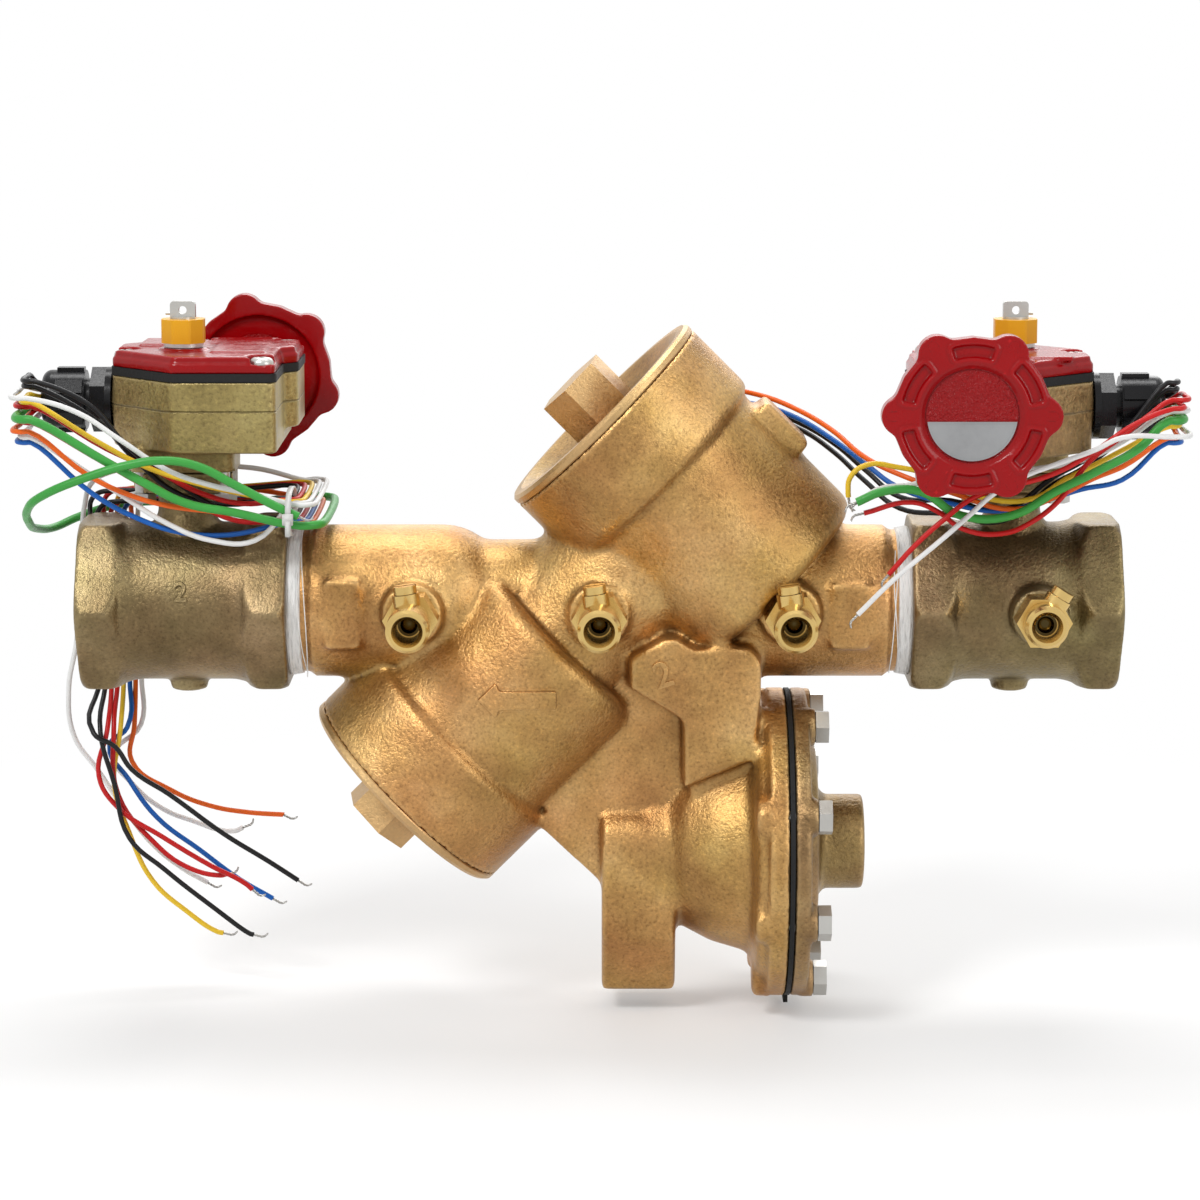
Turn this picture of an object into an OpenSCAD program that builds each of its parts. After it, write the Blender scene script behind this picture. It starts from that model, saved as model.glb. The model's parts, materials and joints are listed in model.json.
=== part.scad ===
/* [Pipe run] */
// Half the length of the body casting between its thread shoulders
run_half = 120.6; // [112:0.1:130]
// Outside diameter of the cast pipe run
run_od = 64.6; // [62:0.1:66]
// Bore of the pipe run
run_bore = 50.8; // [46:0.1:53]
// Outside diameter of the male pipe ends, 2 inch taper thread
thread_d = 60.3; // [59:0.1:61]
// Length of machined neck and tape left showing at each joint
neck_gap = 10.4; // [8:0.1:14]
// Length of male thread inside a shut-off valve
thread_grip = 15; // [10:0.5:17]

/* [Check chambers] */
// Where the first check chamber's axis meets the pipe axis, from mid-length
check1_x = 81; // [79:0.5:83]
// Where the second check chamber's axis meets the pipe axis, from mid-length
check2_x = 0; // [-2:0.5:2]
// Distance from that crossing to the rim of the first cover
check1_reach = 115; // [112:0.5:120]
// Distance from that crossing to the rim of the second cover
check2_reach = 118.8; // [115:0.1:123]
// Outside diameter of the chamber barrels
barrel_od = 95.6; // [93:0.1:98]
// Outside diameter of the cover flanges and of the band under them
cover_od = 103.6; // [101:0.1:106]
// Length of the band under each cover
band_len = 33; // [26:0.5:36]
// Bore of the check chambers
chamber_bore = 84; // [80:0.1:86]
// Outside diameter of the throat that feeds each seat
throat_od = 73; // [70:0.5:75]
// Bore of the throats
throat_bore = 46; // [42:0.5:48]
// Distance from the crossing to the first seat face
seat1_at = 16; // [14:0.5:18]
// Distance from the crossing to the second seat face
seat2_at = 27; // [25:0.5:29]
// How far a check poppet lifts
check_lift = 14; // [8:0.5:16]

/* [Check covers] */
// Thickness of a cover flange
flange_t = 4; // [3:0.1:6]
// Depth of the dish in a cover's face
dish_depth = 6; // [4:0.5:8]
// Width across the flats of the wrench boss
boss_af = 28.6; // [26:0.1:32]
// Height of the wrench boss above the rim
boss_h = 17; // [12:0.5:20]
// Length of a cover's spigot in the chamber
spigot_len = 16; // [14:0.5:20]

/* [Relief valve] */
// Height of the relief valve's axis below the pipe axis
relief_drop = 105; // [103:0.5:107]
// Plane where the diaphragm is clamped, from mid-length
clamp_x = 79.3; // [78:0.1:82]
// Diameter of the two diaphragm flanges
relief_flange_d = 132; // [128:0.5:136]
// Thickness of the body's diaphragm flange
relief_flange_t = 12.6; // [11:0.1:14]
// Thickness of the diaphragm's clamped edge
diaphragm_t = 1.9; // [1.2:0.1:3]
// Thickness of the relief cover's flange
relief_cover_t = 7; // [6:0.1:9]
// Diameter of the relief cover's boss
relief_boss_d = 40.5; // [38:0.1:44]
// Distance from the diaphragm to the end of that boss
relief_boss_end = 33.7; // [28:0.1:36]
// Number of bolts round the relief cover
relief_bolts = 8; // [6:2:8]
// Radius of that bolt circle
relief_bolt_r = 59; // [57.5:0.1:60]
// Bore of the relief seat
relief_seat_bore = 26; // [22:0.5:28]
// How far the relief valve's stem travels
relief_travel = 8; // [5:0.5:10]
// Height of the discharge outlet's mouth below the pipe axis
outlet_drop = 167; // [160:0.5:172]
// Width of the discharge block along the pipe
outlet_w = 31.4; // [30:0.1:34]
// Bore of the discharge outlet
outlet_bore = 22; // [18:0.5:24]

/* [Shut-off valves] */
// Length of a shut-off valve, end to end
valve_len = 88; // [84:0.5:94]
// Width across the flats of its hexagon ends
hex_af = 70.2; // [69:0.1:74]
// Length of each hexagon end
hex_w = 17.5; // [16:0.1:22]
// Outside diameter of the valve's barrel
valve_barrel_d = 67; // [65:0.1:69]
// Bore of the female pipe threads
port_d = 57; // [56:0.1:58]
// Depth of the female pipe threads
port_depth = 18; // [16:0.5:19]
// Diameter of the butterfly disc
disc_d = 46; // [42:0.1:48]
// Thickness of the butterfly disc
disc_t = 5; // [4:0.1:7]
// Wall of the rubber seat around the disc
seat_t = 4; // [3:0.1:5]
// Diameter of the valve's stem
stem_d = 10; // [8:0.1:11]
// Height of the gear housing's mounting face above the pipe axis
mount_z = 57; // [55:0.1:60]

/* [Gear operators] */
// Height of the housing floor above the pipe axis
gear_floor = 66.5; // [65:0.1:69]
// Height of the housing's rim above the pipe axis
gear_rim = 96.5; // [95:0.1:99]
// Thickness of the cover gasket
gasket_t = 3.5; // [2:0.1:4]
// Thickness of the gear cover
gear_cover_t = 7; // [6:0.1:9]
// Distance between the stem and the worm shaft
worm_offset = 25; // [25:0.1:26]
// Height of the worm shaft above the pipe axis
worm_z = 88; // [87:0.1:89]
// Teeth on the worm gear
gear_teeth = 36; // [34:1:38]
// Face width of the worm gear
gear_t = 6; // [4:0.1:7]
// Diameter of the worm shaft
worm_shaft_d = 8; // [6:0.1:9]
// Distance from the stem to the handwheel's rim
wheel_y = 76; // [74:0.5:80]
// Radius over the handwheel's lobes
wheel_r = 36.6; // [34:0.1:40]
// Thickness of the handwheel's rim
wheel_t = 9; // [7:0.1:12]
// Number of lobes on the handwheel
wheel_lobes = 6; // [5:1:8]
// Height of the indicator collar
collar_h = 10; // [8:0.1:12]
// Diameter of the indicator collar
collar_d = 17.5; // [16:0.1:19]
// Height of the flat tab on top of the stem
tab_h = 7.4; // [6:0.1:9]

/* [Cable glands] */
// Width across the flats of the gland's hexagons
gland_af = 24; // [22:0.1:26]
// Length of the gland's body hexagon
gland_hex = 7; // [5:0.1:9]
// Length of the gland's dome nut
gland_nut = 15; // [12:0.1:18]
// Opening of the gland
gland_bore = 11; // [10:0.1:13]

/* [Test cocks] */
// Distance of a body test cock's mouth in front of the pipe axis
cock_reach = 80; // [78:0.5:84]
// Diameter of a test cock's nozzle
cock_d = 18.6; // [17:0.1:20]
// Bore of a test cock's nozzle
cock_bore = 9.8; // [8:0.1:11]
// Width across the flats of a test cock's hexagon
cock_af = 20; // [19:0.1:22]
// Diameter of the raised bosses that the test cocks screw into
cock_boss_d = 26; // [24:0.1:28]

/* [Fits] */
// Running clearance at shafts and stems, on radius
run_gap = 0.05; // [0.03:0.01:0.09]
// Gap between parts that only pass each other
free_gap = 0.3; // [0.2:0.05:0.5]
// Gap at joints that are screwed or pressed together, on radius
set_gap = 0.02; // [0:0.01:0.05]

/* [Wires] */
// Diameter of a switch wire
wire_d = 2.2; // [1.8:0.1:2.6]
// Diameter of the green earth wire
earth_d = 3.6; // [3:0.1:4]

/* [Hidden] */
$fn = 64;

bronze = [0.69, 0.52, 0.31];
valve_bronze = [0.47, 0.39, 0.25];
enamel = [0.67, 0.06, 0.10];
steel = [0.70, 0.70, 0.68];
brass = [0.80, 0.66, 0.34];
black = [0.07, 0.07, 0.08];
yellow = [0.92, 0.70, 0.10];
wire_red = [0.75, 0.10, 0.08];
wire_white = [0.92, 0.92, 0.90];
wire_orange = [0.93, 0.42, 0.08];
wire_blue = [0.08, 0.20, 0.60];
wire_green = [0.10, 0.45, 0.15];
small = 0.01;
through = 300;

// Overall lengths along the pipe, measured from mid-length
valve_face = run_half + neck_gap;
valve_x = valve_face + valve_len / 2;
half_len = valve_face + valve_len;
port_r = port_d / 2;
run_bore_r = run_bore / 2;
run_r = run_od / 2;

// Check chambers: distances along each chamber's own axis
barrel_r = barrel_od / 2;
cover_r = cover_od / 2;
bore_r = chamber_bore / 2;
throat_r = throat_od / 2;
throat_bore_r = throat_bore / 2;
seat_wall = 6;
seat_ring_r = throat_bore_r + 5;
seat_lip = 2;
shoulder_round = 6;
poppet_t = 6;
poppet_r = throat_bore_r + 6;
guide_r = 5;
hub_r = 9;
web_t = 6;
oring_r = 1.6;

// Relief valve, along the pipe axis
flange_r = relief_flange_d / 2;
cover_clamp = clamp_x + diaphragm_t;
relief_cover_face = cover_clamp + relief_cover_t;
relief_flange_x = clamp_x - relief_flange_t;
bell_r = 47.4;
bell_neck_r = 36.6;
bell_x = 29.4;
bell_wall = 6;
outlet_x = 1 + outlet_w / 2;
zone_passage_x = 44;
zone_passage_r = 5;
relief_seat_x = 31;
plate_r = 36;
plate_t = 3;

// Shut-off valves and their operators, in a valve's own place
hex_r = hex_af / 2 / cos(30);
valve_barrel_r = valve_barrel_d / 2;
gear_pitch_r = worm_offset - 6;
worm_pitch = 2 * PI * gear_pitch_r / gear_teeth;
tower_r = 11.75;
cover_base = gear_rim + gasket_t;
cover_top = cover_base + gear_cover_t;
collar_z = cover_top + 3;
tab_z = collar_z + collar_h;
gland_y = 12;
gland_z = 84.5;
gland_x = -30;
gland_r = gland_af / 2 / cos(30);
gland_neck_r = gland_bore / 2 + 3.5;
gland_body_len = gland_hex + 13;
gland_seal_t = 3;
gland_seal_z = 19.8;
gland_dome_r = 4;
gland_flare = 2.8;
box_front = -32;
box_back = 54;
box_right = 41;
box_wall = 3;
hub_end = box_back + 1;
screw_places = [[35, -26], [40, 47], [-25, 5], [3, 47]];
screw_column_r = 4.2;
bolt_places = [[-17, -13], [17, -13], [-17, 13], [17, 13]];

// Test cocks: place along the pipe, mouth, boss face, and turn of the stem
cock_places = [
    [valve_x + 8, -cock_reach + 11, -45, -32],
    [check1_x - 1, -cock_reach, -39, 8],
    [check2_x, -cock_reach, -39, 8],
    [-78, -cock_reach, -39, 8]
];
cock_r = cock_d / 2;
cock_bore_r = cock_bore / 2;
cock_ball_r = 6.6;
cock_seat_r = 3.5;
cock_hex_w = 14;
cock_shank_r = 6.5;
cock_shank_len = 9;

// Wires leave the glands on a ring and bend to the front; beyond that their points are only
// how they happen to lie. Each has a lane of its own, so that none runs into another
wire_ring = 3.9;
wire_bend = 6;
wire_out = 226;
bend_at = 235;
drop_bend = 8;

// Points at one distance y from the pipe axis, given as pairs of x and z
function in_lane(y, pairs) =
  [for (p = pairs) [p[0], y, p[1]]];

// Start of a wire: out of the gland, round to the front and back along its lane.
// side is 1 at the inlet and -1 at the outlet, angle is the wire's place on the ring
function wire_start(side, angle, level, lane, reach, ring = wire_ring, bend = wire_bend, from = bend_at) =
  let(y = ring * cos(angle) - side * gland_y,
      z = gland_z + ring * sin(angle),
      out = reach - from,
      b = min(bend, (y + lane) / 2),
      straight = y + lane - 2 * b)
  concat([[side * wire_out, y, z], [side * (from - 3), y, z]],
         [for (i = [0:3]) [side * (from + out * sin(30 * i)), y - b * (1 - cos(30 * i)),
                           z + (level - z) * [0.1, 0.35, 0.65, 0.9][i]]],
         straight > wire_bend ? [[side * reach, (y - lane) / 2, level]] : [],
         [for (i = [straight > 0.5 ? 3 : 2:-1:0]) [side * (from + out * sin(30 * i)),
                                                   b * (1 - cos(30 * i)) - lane, level]]);

// Turn round the neck between the valve and the main body, from the front lane to the rear one
function neck_loop(x, z, lane, bend = wire_bend) =
  concat([for (i = [0:3]) [x - bend * (1 - sin(30 * i)), bend * (1 - cos(30 * i)) - lane, z]],
         [for (i = [3:-1:0]) [x - bend * (1 - sin(30 * i)), lane - bend * (1 - cos(30 * i)), z]]);

// Drop behind the outlet valve, past its hexagon and back into the rear lane
function wire_drop(x, lane, z) =
  concat([for (i = [0:3]) [x + drop_bend * (1 - sin(30 * i)), lane + drop_bend / 2 * (1 - cos(30 * i)),
                           z - drop_bend * (1 - cos(30 * i))]],
         [[x, lane / 2 + 27, z / 2 + 4], [x, 47, 6], [x, 47.5, -18], [x, 46, -42], [x, lane, -62]]);

// Whole route of a wire at the inlet: along the front, then as it happens to end
function inlet_route(angle, level, lane, reach, front, end = []) =
  concat(wire_start(1, angle, level, lane, reach), in_lane(-lane, front), end);

// Whole route of a wire at the outlet: round the neck, down behind the valve and hanging free
function outlet_route(angle, level, lane, reach, neck_x, neck_z, rear_z, drop_x, front, hanging) =
  concat(wire_start(-1, angle, level, lane, reach), in_lane(-lane, front),
         neck_loop(neck_x, neck_z, lane), [[-165, lane, rear_z]],
         wire_drop(drop_x, lane, rear_z), in_lane(lane, hanging));

inlet_black_1 = inlet_route(90, 96, 30, 240.5,
    [[216, 74], [200, 63], [189, 57], [168, 43], [146, 47]],
    [[126, -20, 47], [112, -9, 57], [100, 7, 66], [86, 22, 73], [70, 33, 78], [54, 42, 76],
     [42, 50, 66], [34, 56, 48]]);
inlet_black_2 = inlet_route(130, 92.8, 27.5, 240.5,
    [[216, 72], [201, 60], [190, 54], [168, 38], [145, 41]],
    [[126, -18, 42], [112, -6, 52], [100, 10, 62], [86, 26, 70], [70, 38, 74], [54, 47, 70],
     [44, 54, 56], [38, 58, 36]]);
inlet_red_1 = inlet_route(50, 90.2, 42.5, 243.2,
    [[226, 84], [216, 76], [202, 65], [190, 49], [179, 40], [167, 35], [150, 37], [140, 44],
     [129, 48], [103, 42]]);
inlet_red_2 = inlet_route(170, 87.6, 49.5, 240.3,
    [[219, 81], [203, 70], [187, 61], [171, 56], [154, 51], [142, 42], [130, 31], [115, 14]]);
inlet_white_1 = inlet_route(-30, 76.3, 52, 242.8,
    [[214, 76], [203, 71], [187, 65], [174, 60], [162, 53], [152, 44], [142, 35], [121, 17],
     [102, -2]]);
inlet_white_2 = inlet_route(10, 85.2, 40, 243.4,
    [[216, 73], [202, 66], [183, 62], [164, 60], [145, 59], [129, 55], [115, 53], [103, 45]]);
inlet_orange = inlet_route(-110, 73.8, 35, 240.5,
    [[217, 62], [205, 57], [191, 50], [172, 44], [146, 51]],
    [[126, -26, 57], [112, -18, 63], [98, 0, 73], [84, 14, 80], [68, 25, 85], [54, 38, 85],
     [40, 48, 79], [28, 56, 67]]);
inlet_blue = inlet_route(-70, 71.3, 32.5, 242,
    [[217, 56], [200, 52], [184, 47], [168, 43], [146, 46]],
    [[124, -23, 52], [112, -14, 60], [98, 3, 69], [84, 18, 76], [68, 31, 80], [54, 44, 79],
     [40, 52, 71], [30, 58, 56]]);
inlet_yellow = inlet_route(218, 78.8, 37.5, 240.3,
    [[218, 70], [205, 63], [193, 57], [180, 49], [160, 49], [140, 58], [123, 62], [111, 63],
     [104, 58], [103, 51], [104, 43]]);
inlet_green = concat(
    wire_start(1, 0, 82.1, 46, 241.3, 0, 9, 233.5),
    in_lane(-46, [[222, 71], [204, 61], [188, 53], [170, 43], [149, 43], [132, 53], [117, 53], [100, 46]]));
outlet_black_1 = outlet_route(90, 96, 23, 240.5, -127.6, 38.5, 39, -216.6,
    [[-212, 86], [-197, 69], [-177, 54], [-155, 41]],
    [[-211, -85], [-205, -109], [-190, -123], [-169, -140], [-153, -152], [-145, -154]]);
outlet_black_2 = outlet_route(130, 93.4, 20.5, 240.5, -129, 46.5, 44, -219.2,
    [[-208, 78], [-194, 63], [-175, 48], [-155, 44]],
    [[-210, -68], [-203, -78], [-187, -89], [-163, -107], [-144, -119], [-126, -131]]);
outlet_red_1 = outlet_route(10, 85.5, 25.5, 243.4, -126.2, 46.5, 44, -214,
    [[-205, 68], [-185, 59], [-165, 49], [-148, 45]],
    [[-218, -82], [-210, -96], [-191, -109], [-170, -122], [-155, -130], [-147, -137]]);
outlet_red_2 = outlet_route(218, 79.2, 28, 240.3, -124.8, 38.5, 39, -211.4,
    [[-205, 62], [-187, 52], [-166, 44], [-150, 38]],
    [[-210, -91], [-195, -112], [-181, -123], [-166, -127], [-157, -125]]);
outlet_white_1 = outlet_route(50, 90.8, 40.5, 243, -117.8, 46.5, 39, -201,
    [[-215, 85], [-198, 74], [-178, 61], [-161, 55], [-143, 51]],
    [[-213, -76], [-205, -89], [-192, -100], [-180, -105], [-161, -110], [-151, -106]]);
outlet_white_2 = concat(
    wire_start(-1, 250, 74.1, 35.5, 240.3),
    in_lane(-35.5, [[-201, 52], [-179, 38], [-161, 31], [-143, 31]]),
    neck_loop(-120.6, 46.5, 35.5),
    [[-150, 35.5, 52], [-195, 35.5, 52], [-212, 35.5, 50], [-220, 36, 45], [-223, 37, 36], [-225, 38, 20]],
    in_lane(38, [[-228, -24], [-232, -46], [-230, -67], [-220, -82], [-209, -99], [-196, -116],
                 [-184, -126], [-167, -136]]));
outlet_orange = outlet_route(-30, 76.6, 38, 243, -119.2, 38.5, 44, -203.6,
    [[-212, 59], [-196, 51], [-179, 46], [-155, 43]],
    [[-205, -78], [-188, -91], [-171, -98], [-154, -101], [-139, -102], [-133, -105]]);
outlet_blue = outlet_route(-70, 71.5, 33, 242, -122, 38.5, 39, -206.2,
    [[-210, 50], [-192, 40], [-174, 34], [-154, 33]],
    [[-214, -70], [-206, -85], [-194, -102], [-175, -117], [-158, -130], [-138, -142]]);
outlet_yellow = outlet_route(170, 88, 30.5, 240.3, -123.4, 46.5, 44, -208.8,
    [[-207, 71], [-188, 61], [-170, 55], [-154, 51]],
    [[-212, -87], [-206, -108], [-196, -130], [-181, -144], [-168, -153], [-159, -155]]);
outlet_green = concat(
    wire_start(-1, 0, 82.4, 44, 241.3, 0, 9, 233.5),
    in_lane(-44, [[-203, 65], [-187, 56], [-171, 48], [-151, 44]]),
    neck_loop(-114.5, 38.5, 44, 9),
    [[-150, 46, 36], [-190, 47, 36], [-212, 46, 34], [-226, 41, 30], [-235, 30, 27], [-240, 12, 29],
     [-240, -12, 35], [-238, -30, 43], [-231, -42, 50]],
    in_lane(-47.5, [[-208, 60], [-194, 64], [-180, 66], [-166, 64], [-150, 56], [-133, 47], [-118, 40]]));

// Moves everything so that the origin lies at the centre of the inlet port
module placed() {
  translate([-half_len, 0, 0])
    children();
}

// Stands children on the first chamber's axis, up towards the outlet
module at_check1() {
  translate([check1_x, 0, 0])
    rotate([0, -45, 0])
      children();
}

// Stands children on the second chamber's axis, down towards the outlet
module at_check2() {
  translate([check2_x, 0, 0])
    rotate([0, -135, 0])
      children();
}

// Cylinder along the pipe from x0 to x1
module rod_x(r, x0, x1) {
  translate([x0, 0, 0])
    rotate([0, 90, 0])
      cylinder(r = r, h = x1 - x0);
}

// Turns a profile of [radius, place] points about the pipe direction
module revolve_x(points) {
  rotate([90, 0, 90])
    rotate_extrude()
      polygon(points);
}

// Points on an arc, for rounded edges in a profile
function arc(cx, cy, r, a0, a1, n = 6) =
  [for (i = [0:n]) [cx + r * cos(a0 + (a1 - a0) * i / n), cy + r * sin(a0 + (a1 - a0) * i / n)]];

// Prism standing in the X-Z plane, centred on Y
module prism_y(points, depth) {
  rotate([90, 0, 0])
    translate([0, 0, -depth / 2])
      linear_extrude(height = depth)
        polygon(points);
}

// Outside of one check chamber: rounded shoulder, barrel and band
module chamber_shell(seat_at, reach) {
  start = seat_at - seat_wall;
  top = reach - flange_t;
  band = top - band_len;
  rotate_extrude()
    polygon(concat(
        [[0, start]],
        arc(barrel_r - shoulder_round, start + shoulder_round, shoulder_round, -90, 0),
        [[barrel_r, band - 2], [cover_r, band + 1], [cover_r, top], [0, top]]
    ));
}

// Hollow of one check chamber, from the throat to the open mouth
module chamber_hollow(seat_at, reach, throat_from) {
  translate([0, 0, seat_at])
    cylinder(r = bore_r, h = reach);
  translate([0, 0, seat_at - seat_wall])
    cylinder(r = seat_ring_r, h = seat_wall + 1);
  translate([0, 0, throat_from])
    cylinder(r = throat_bore_r, h = seat_at - throat_from);
}

// Raised plain pad on the front of the casting
module front_pad(x0, x1, z0, z1, y_front) {
  translate([x0, y_front, z0])
    cube([x1 - x0, 20, z1 - z0]);
}

// Bell of the relief valve with its diaphragm flange, about the relief axis
module relief_bell() {
  translate([0, 0, -relief_drop])
    revolve_x(concat(
        [[0, bell_x - 8], [30, bell_x - 8], [30, bell_x], [bell_neck_r, bell_x + 6.6],
         [bell_neck_r + 6, bell_x + 18], [bell_r, relief_flange_x - 3]],
        [[flange_r - 5, relief_flange_x], [flange_r - 5, relief_flange_x + 3.3],
         [flange_r, relief_flange_x + 4.3], [flange_r, clamp_x], [0, clamp_x]]
    ));
  for (i = [0:relief_bolts - 1])
    translate([0, 0, -relief_drop])
      rotate([360 * (i + 0.5) / relief_bolts, 0, 0])
        translate([0, 0, relief_bolt_r])
          rod_x(8, relief_flange_x - 2, relief_flange_x + 5);
}

// Block that carries the downward discharge outlet
module discharge_block() {
  top = -86;
  round_r = 14;
  rotate([90, 0, 90])
    translate([0, 0, outlet_x - outlet_w / 2])
      linear_extrude(height = outlet_w)
        polygon(concat(
            [[-outlet_bore / 2 - 5, -outlet_drop], [outlet_bore / 2 + 5, -outlet_drop],
             [30, -outlet_drop + 26]],
            arc(30 - round_r, top - round_r, round_r, 0, 90),
            arc(round_r - 30, top - round_r, round_r, 90, 180),
            [[-30, -outlet_drop + 26]]
        ));
}

module main_body() {
  color(bronze)
    placed()
      difference() {
        union() {
          revolve_x(concat(
              [[0, -valve_face - thread_grip], [port_r - set_gap, -valve_face - thread_grip],
               [port_r - set_gap, -valve_face + 1], [thread_d / 2, -valve_face + 1],
               [thread_d / 2, -run_half - 1], [run_r, -run_half]],
              arc(run_r - 26, -66, 26, 0, 80, 8),
              [[0, -66 + 25.8]]
          ));
          revolve_x(concat(
              [[0, check1_x - 42]],
              arc(run_r - 26, check1_x - 15, 26, -90, 0, 8),
              [[run_r, run_half], [thread_d / 2, run_half + 1], [thread_d / 2, valve_face - 1],
               [port_r - set_gap, valve_face - 1], [port_r - set_gap, valve_face + thread_grip],
               [0, valve_face + thread_grip]]
          ));
          at_check1()
            chamber_shell(seat1_at, check1_reach);
          at_check2() {
            chamber_shell(seat2_at, check2_reach);
            translate([0, 0, -30])
              cylinder(r = throat_r, h = seat2_at + 30);
          }
          at_check1()
            translate([barrel_r - 6, -14, check1_reach - 72])
              cube([12, 28, 26]);
          relief_bell();
          discharge_block();
          neck_block();
          strut();
          cock_bosses();
          front_pad(-115, -100, -16, 14, -run_r - 0.8);
          front_pad(97, 113, -16, 12, -run_r - 0.8);
          flow_arrow();
        }
        body_hollows();
      }
}

// Block between the pipe run and the bell, with a plain raised front
module neck_block() {
  prism_y([[12.7, -31.3], [12.7, -18.6], [26.8, -10.4], [32.9, -10.4], [39.4, -14.9],
           [62.8, -14.1], [67.6, -19.8], [67.6, -36.2], [64.4, -62], [35.3, -74],
           [34.9, -44.8]], 76);
  prism_y([[38, -40], [66, -40], [66, -95], [38, -95]], 60);
}

// Inclined strut between the second chamber and the relief valve
module strut() {
  prism_y([[-25.5, -93.9], [-0.3, -117.7], [8, -117.7], [36, -100], [36, -40.6],
           [19.6, -39.3], [-10, -60]], 44);
}

// Bosses on the casting for the three body test cocks
module cock_bosses() {
  for (i = [1:3])
    translate([cock_places[i][0], cock_places[i][2], 0])
      rotate([-90, 0, 0])
        cylinder(r = cock_boss_d / 2, h = 16);
}

// Cast arrow that points the way the water flows
module flow_arrow() {
  at_check2()
    translate([0, -barrel_r + 3, 48])
      rotate([0, 135, 0])
        prism_y([[-16, 0], [-6, 7], [-6, 3.5], [17, 3.5], [17, -3.5], [-6, -3.5], [-6, -7]], 8);
}

// Everything that is cast or bored hollow in the body
module body_hollows() {
  rod_x(run_bore_r, -through, -66);
  translate([-66, 0, 0])
    sphere(r = run_bore_r);
  rod_x(run_bore_r, check1_x + 15, through);
  at_check1()
    chamber_hollow(seat1_at, check1_reach, -14);
  at_check2()
    chamber_hollow(seat2_at, check2_reach, -30);
  // passage from the zone between the checks down to the relief valve's bell
  translate([zone_passage_x, 0, -relief_drop + 30])
    cylinder(r = zone_passage_r, h = relief_drop - 38);
  // chamber behind the diaphragm
  translate([0, 0, -relief_drop])
    revolve_x([[0, relief_seat_x + 3], [26, relief_seat_x + 3], [30, bell_x + 20],
               [bell_r - bell_wall, relief_flange_x], [bell_r - bell_wall, clamp_x + 1],
               [0, clamp_x + 1]]);
  // way through the relief seat into the discharge
  translate([0, 0, -relief_drop])
    rod_x(relief_seat_bore / 2 + 4, outlet_x - 9, relief_seat_x + 4);
  translate([outlet_x, 0, -outlet_drop - 1])
    cylinder(r = outlet_bore / 2, h = outlet_drop - relief_drop - 12);
  for (i = [0:relief_bolts - 1])
    translate([0, 0, -relief_drop])
      rotate([360 * (i + 0.5) / relief_bolts, 0, 0])
        translate([0, 0, relief_bolt_r])
          rod_x(4 + set_gap, relief_flange_x + 3, through);
  for (i = [1:3])
    translate([cock_places[i][0], cock_places[i][2] - 1, 0])
      rotate([-90, 0, 0]) {
        cylinder(r = cock_shank_r + set_gap, h = cock_shank_len + 1.5);
        cylinder(r = 2.5, h = 30);
        translate([0, 0, -20])
          cylinder(r = cock_af / 2 / cos(30) + free_gap, h = 21);
      }
}

// Ring swept along a helix: one coil spring standing on z = 0
function helix_ring(r, wire, a, z) =
  [for (k = [0:5]) [(r + wire * cos(60 * k)) * cos(a), (r + wire * cos(60 * k)) * sin(a),
                    z + wire * sin(60 * k)]];

module coil_spring(r, wire, height, turns) {
  per_turn = 12;
  steps = turns * per_turn;
  rise = height - 2 * wire;
  rings = [for (i = [0:steps]) helix_ring(r, wire, 360 * i / per_turn, wire + rise * i / steps)];
  swept(rings, 6);
}

// Closed tube through rings of n points each
module swept(rings, n) {
  last = len(rings) - 1;
  sides = [for (i = [0:last - 1]) for (k = [0:n - 1]) let(a = i * n + k, b = i * n + (k + 1) % n)
      each [[a, b, b + n], [a, b + n, a + n]]];
  start_cap = [for (k = [1:n - 2]) [0, k + 1, k]];
  end_cap = [for (k = [1:n - 2]) [last * n, last * n + k, last * n + k + 1]];
  polyhedron([for (ring = rings) each ring], concat(sides, start_cap, end_cap));
}

// Screwed cover: dished flange, wrench boss, spigot and spring hub
module check_cover(reach) {
  rim = reach - flange_t;
  floor_z = reach - dish_depth;
  difference() {
    union() {
      rotate_extrude()
        polygon([[0, floor_z - web_t], [bore_r - 7, floor_z - web_t], [bore_r - 7, rim - spigot_len],
                 [bore_r - set_gap, rim - spigot_len], [bore_r - set_gap, rim],
                 [cover_r - 0.4, rim], [cover_r, rim + 0.6], [cover_r, reach - 1.4],
                 [cover_r - 1.4, reach], [cover_r - 5.5, reach], [bore_r - 6, floor_z],
                 [0, floor_z]]);
      translate([0, 0, floor_z - 1])
        rotate(20)
          cylinder(r = boss_af / 2 / cos(30), h = dish_depth + boss_h + 1, $fn = 6);
      translate([0, 0, hub_end_at(reach)])
        cylinder(r = hub_r, h = floor_z - hub_end_at(reach) - 1);
    }
    translate([0, 0, hub_end_at(reach) - 1])
      cylinder(r = guide_r + run_gap, h = hub_len() + 1);
    translate([0, 0, rim - spigot_len / 2])
      rotate_extrude()
        translate([bore_r - oring_r, 0])
          square([2 * oring_r, 2 * oring_r], center = true);
  }
}

// Hub of a cover reaches this far down the chamber's axis
function hub_len() = 30;
function hub_end_at(reach) = reach - dish_depth - web_t - hub_len() + 4;

module check1_cover() {
  color(bronze)
    placed()
      at_check1()
        check_cover(check1_reach);
}

module check2_cover() {
  color(bronze)
    placed()
      at_check2()
        check_cover(check2_reach);
}

module cover_oring(reach) {
  translate([0, 0, reach - flange_t - spigot_len / 2])
    rotate_extrude()
      translate([bore_r - oring_r, 0])
        square([2 * oring_r - 2 * small, 2 * oring_r - 2 * small], center = true);
}

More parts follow.
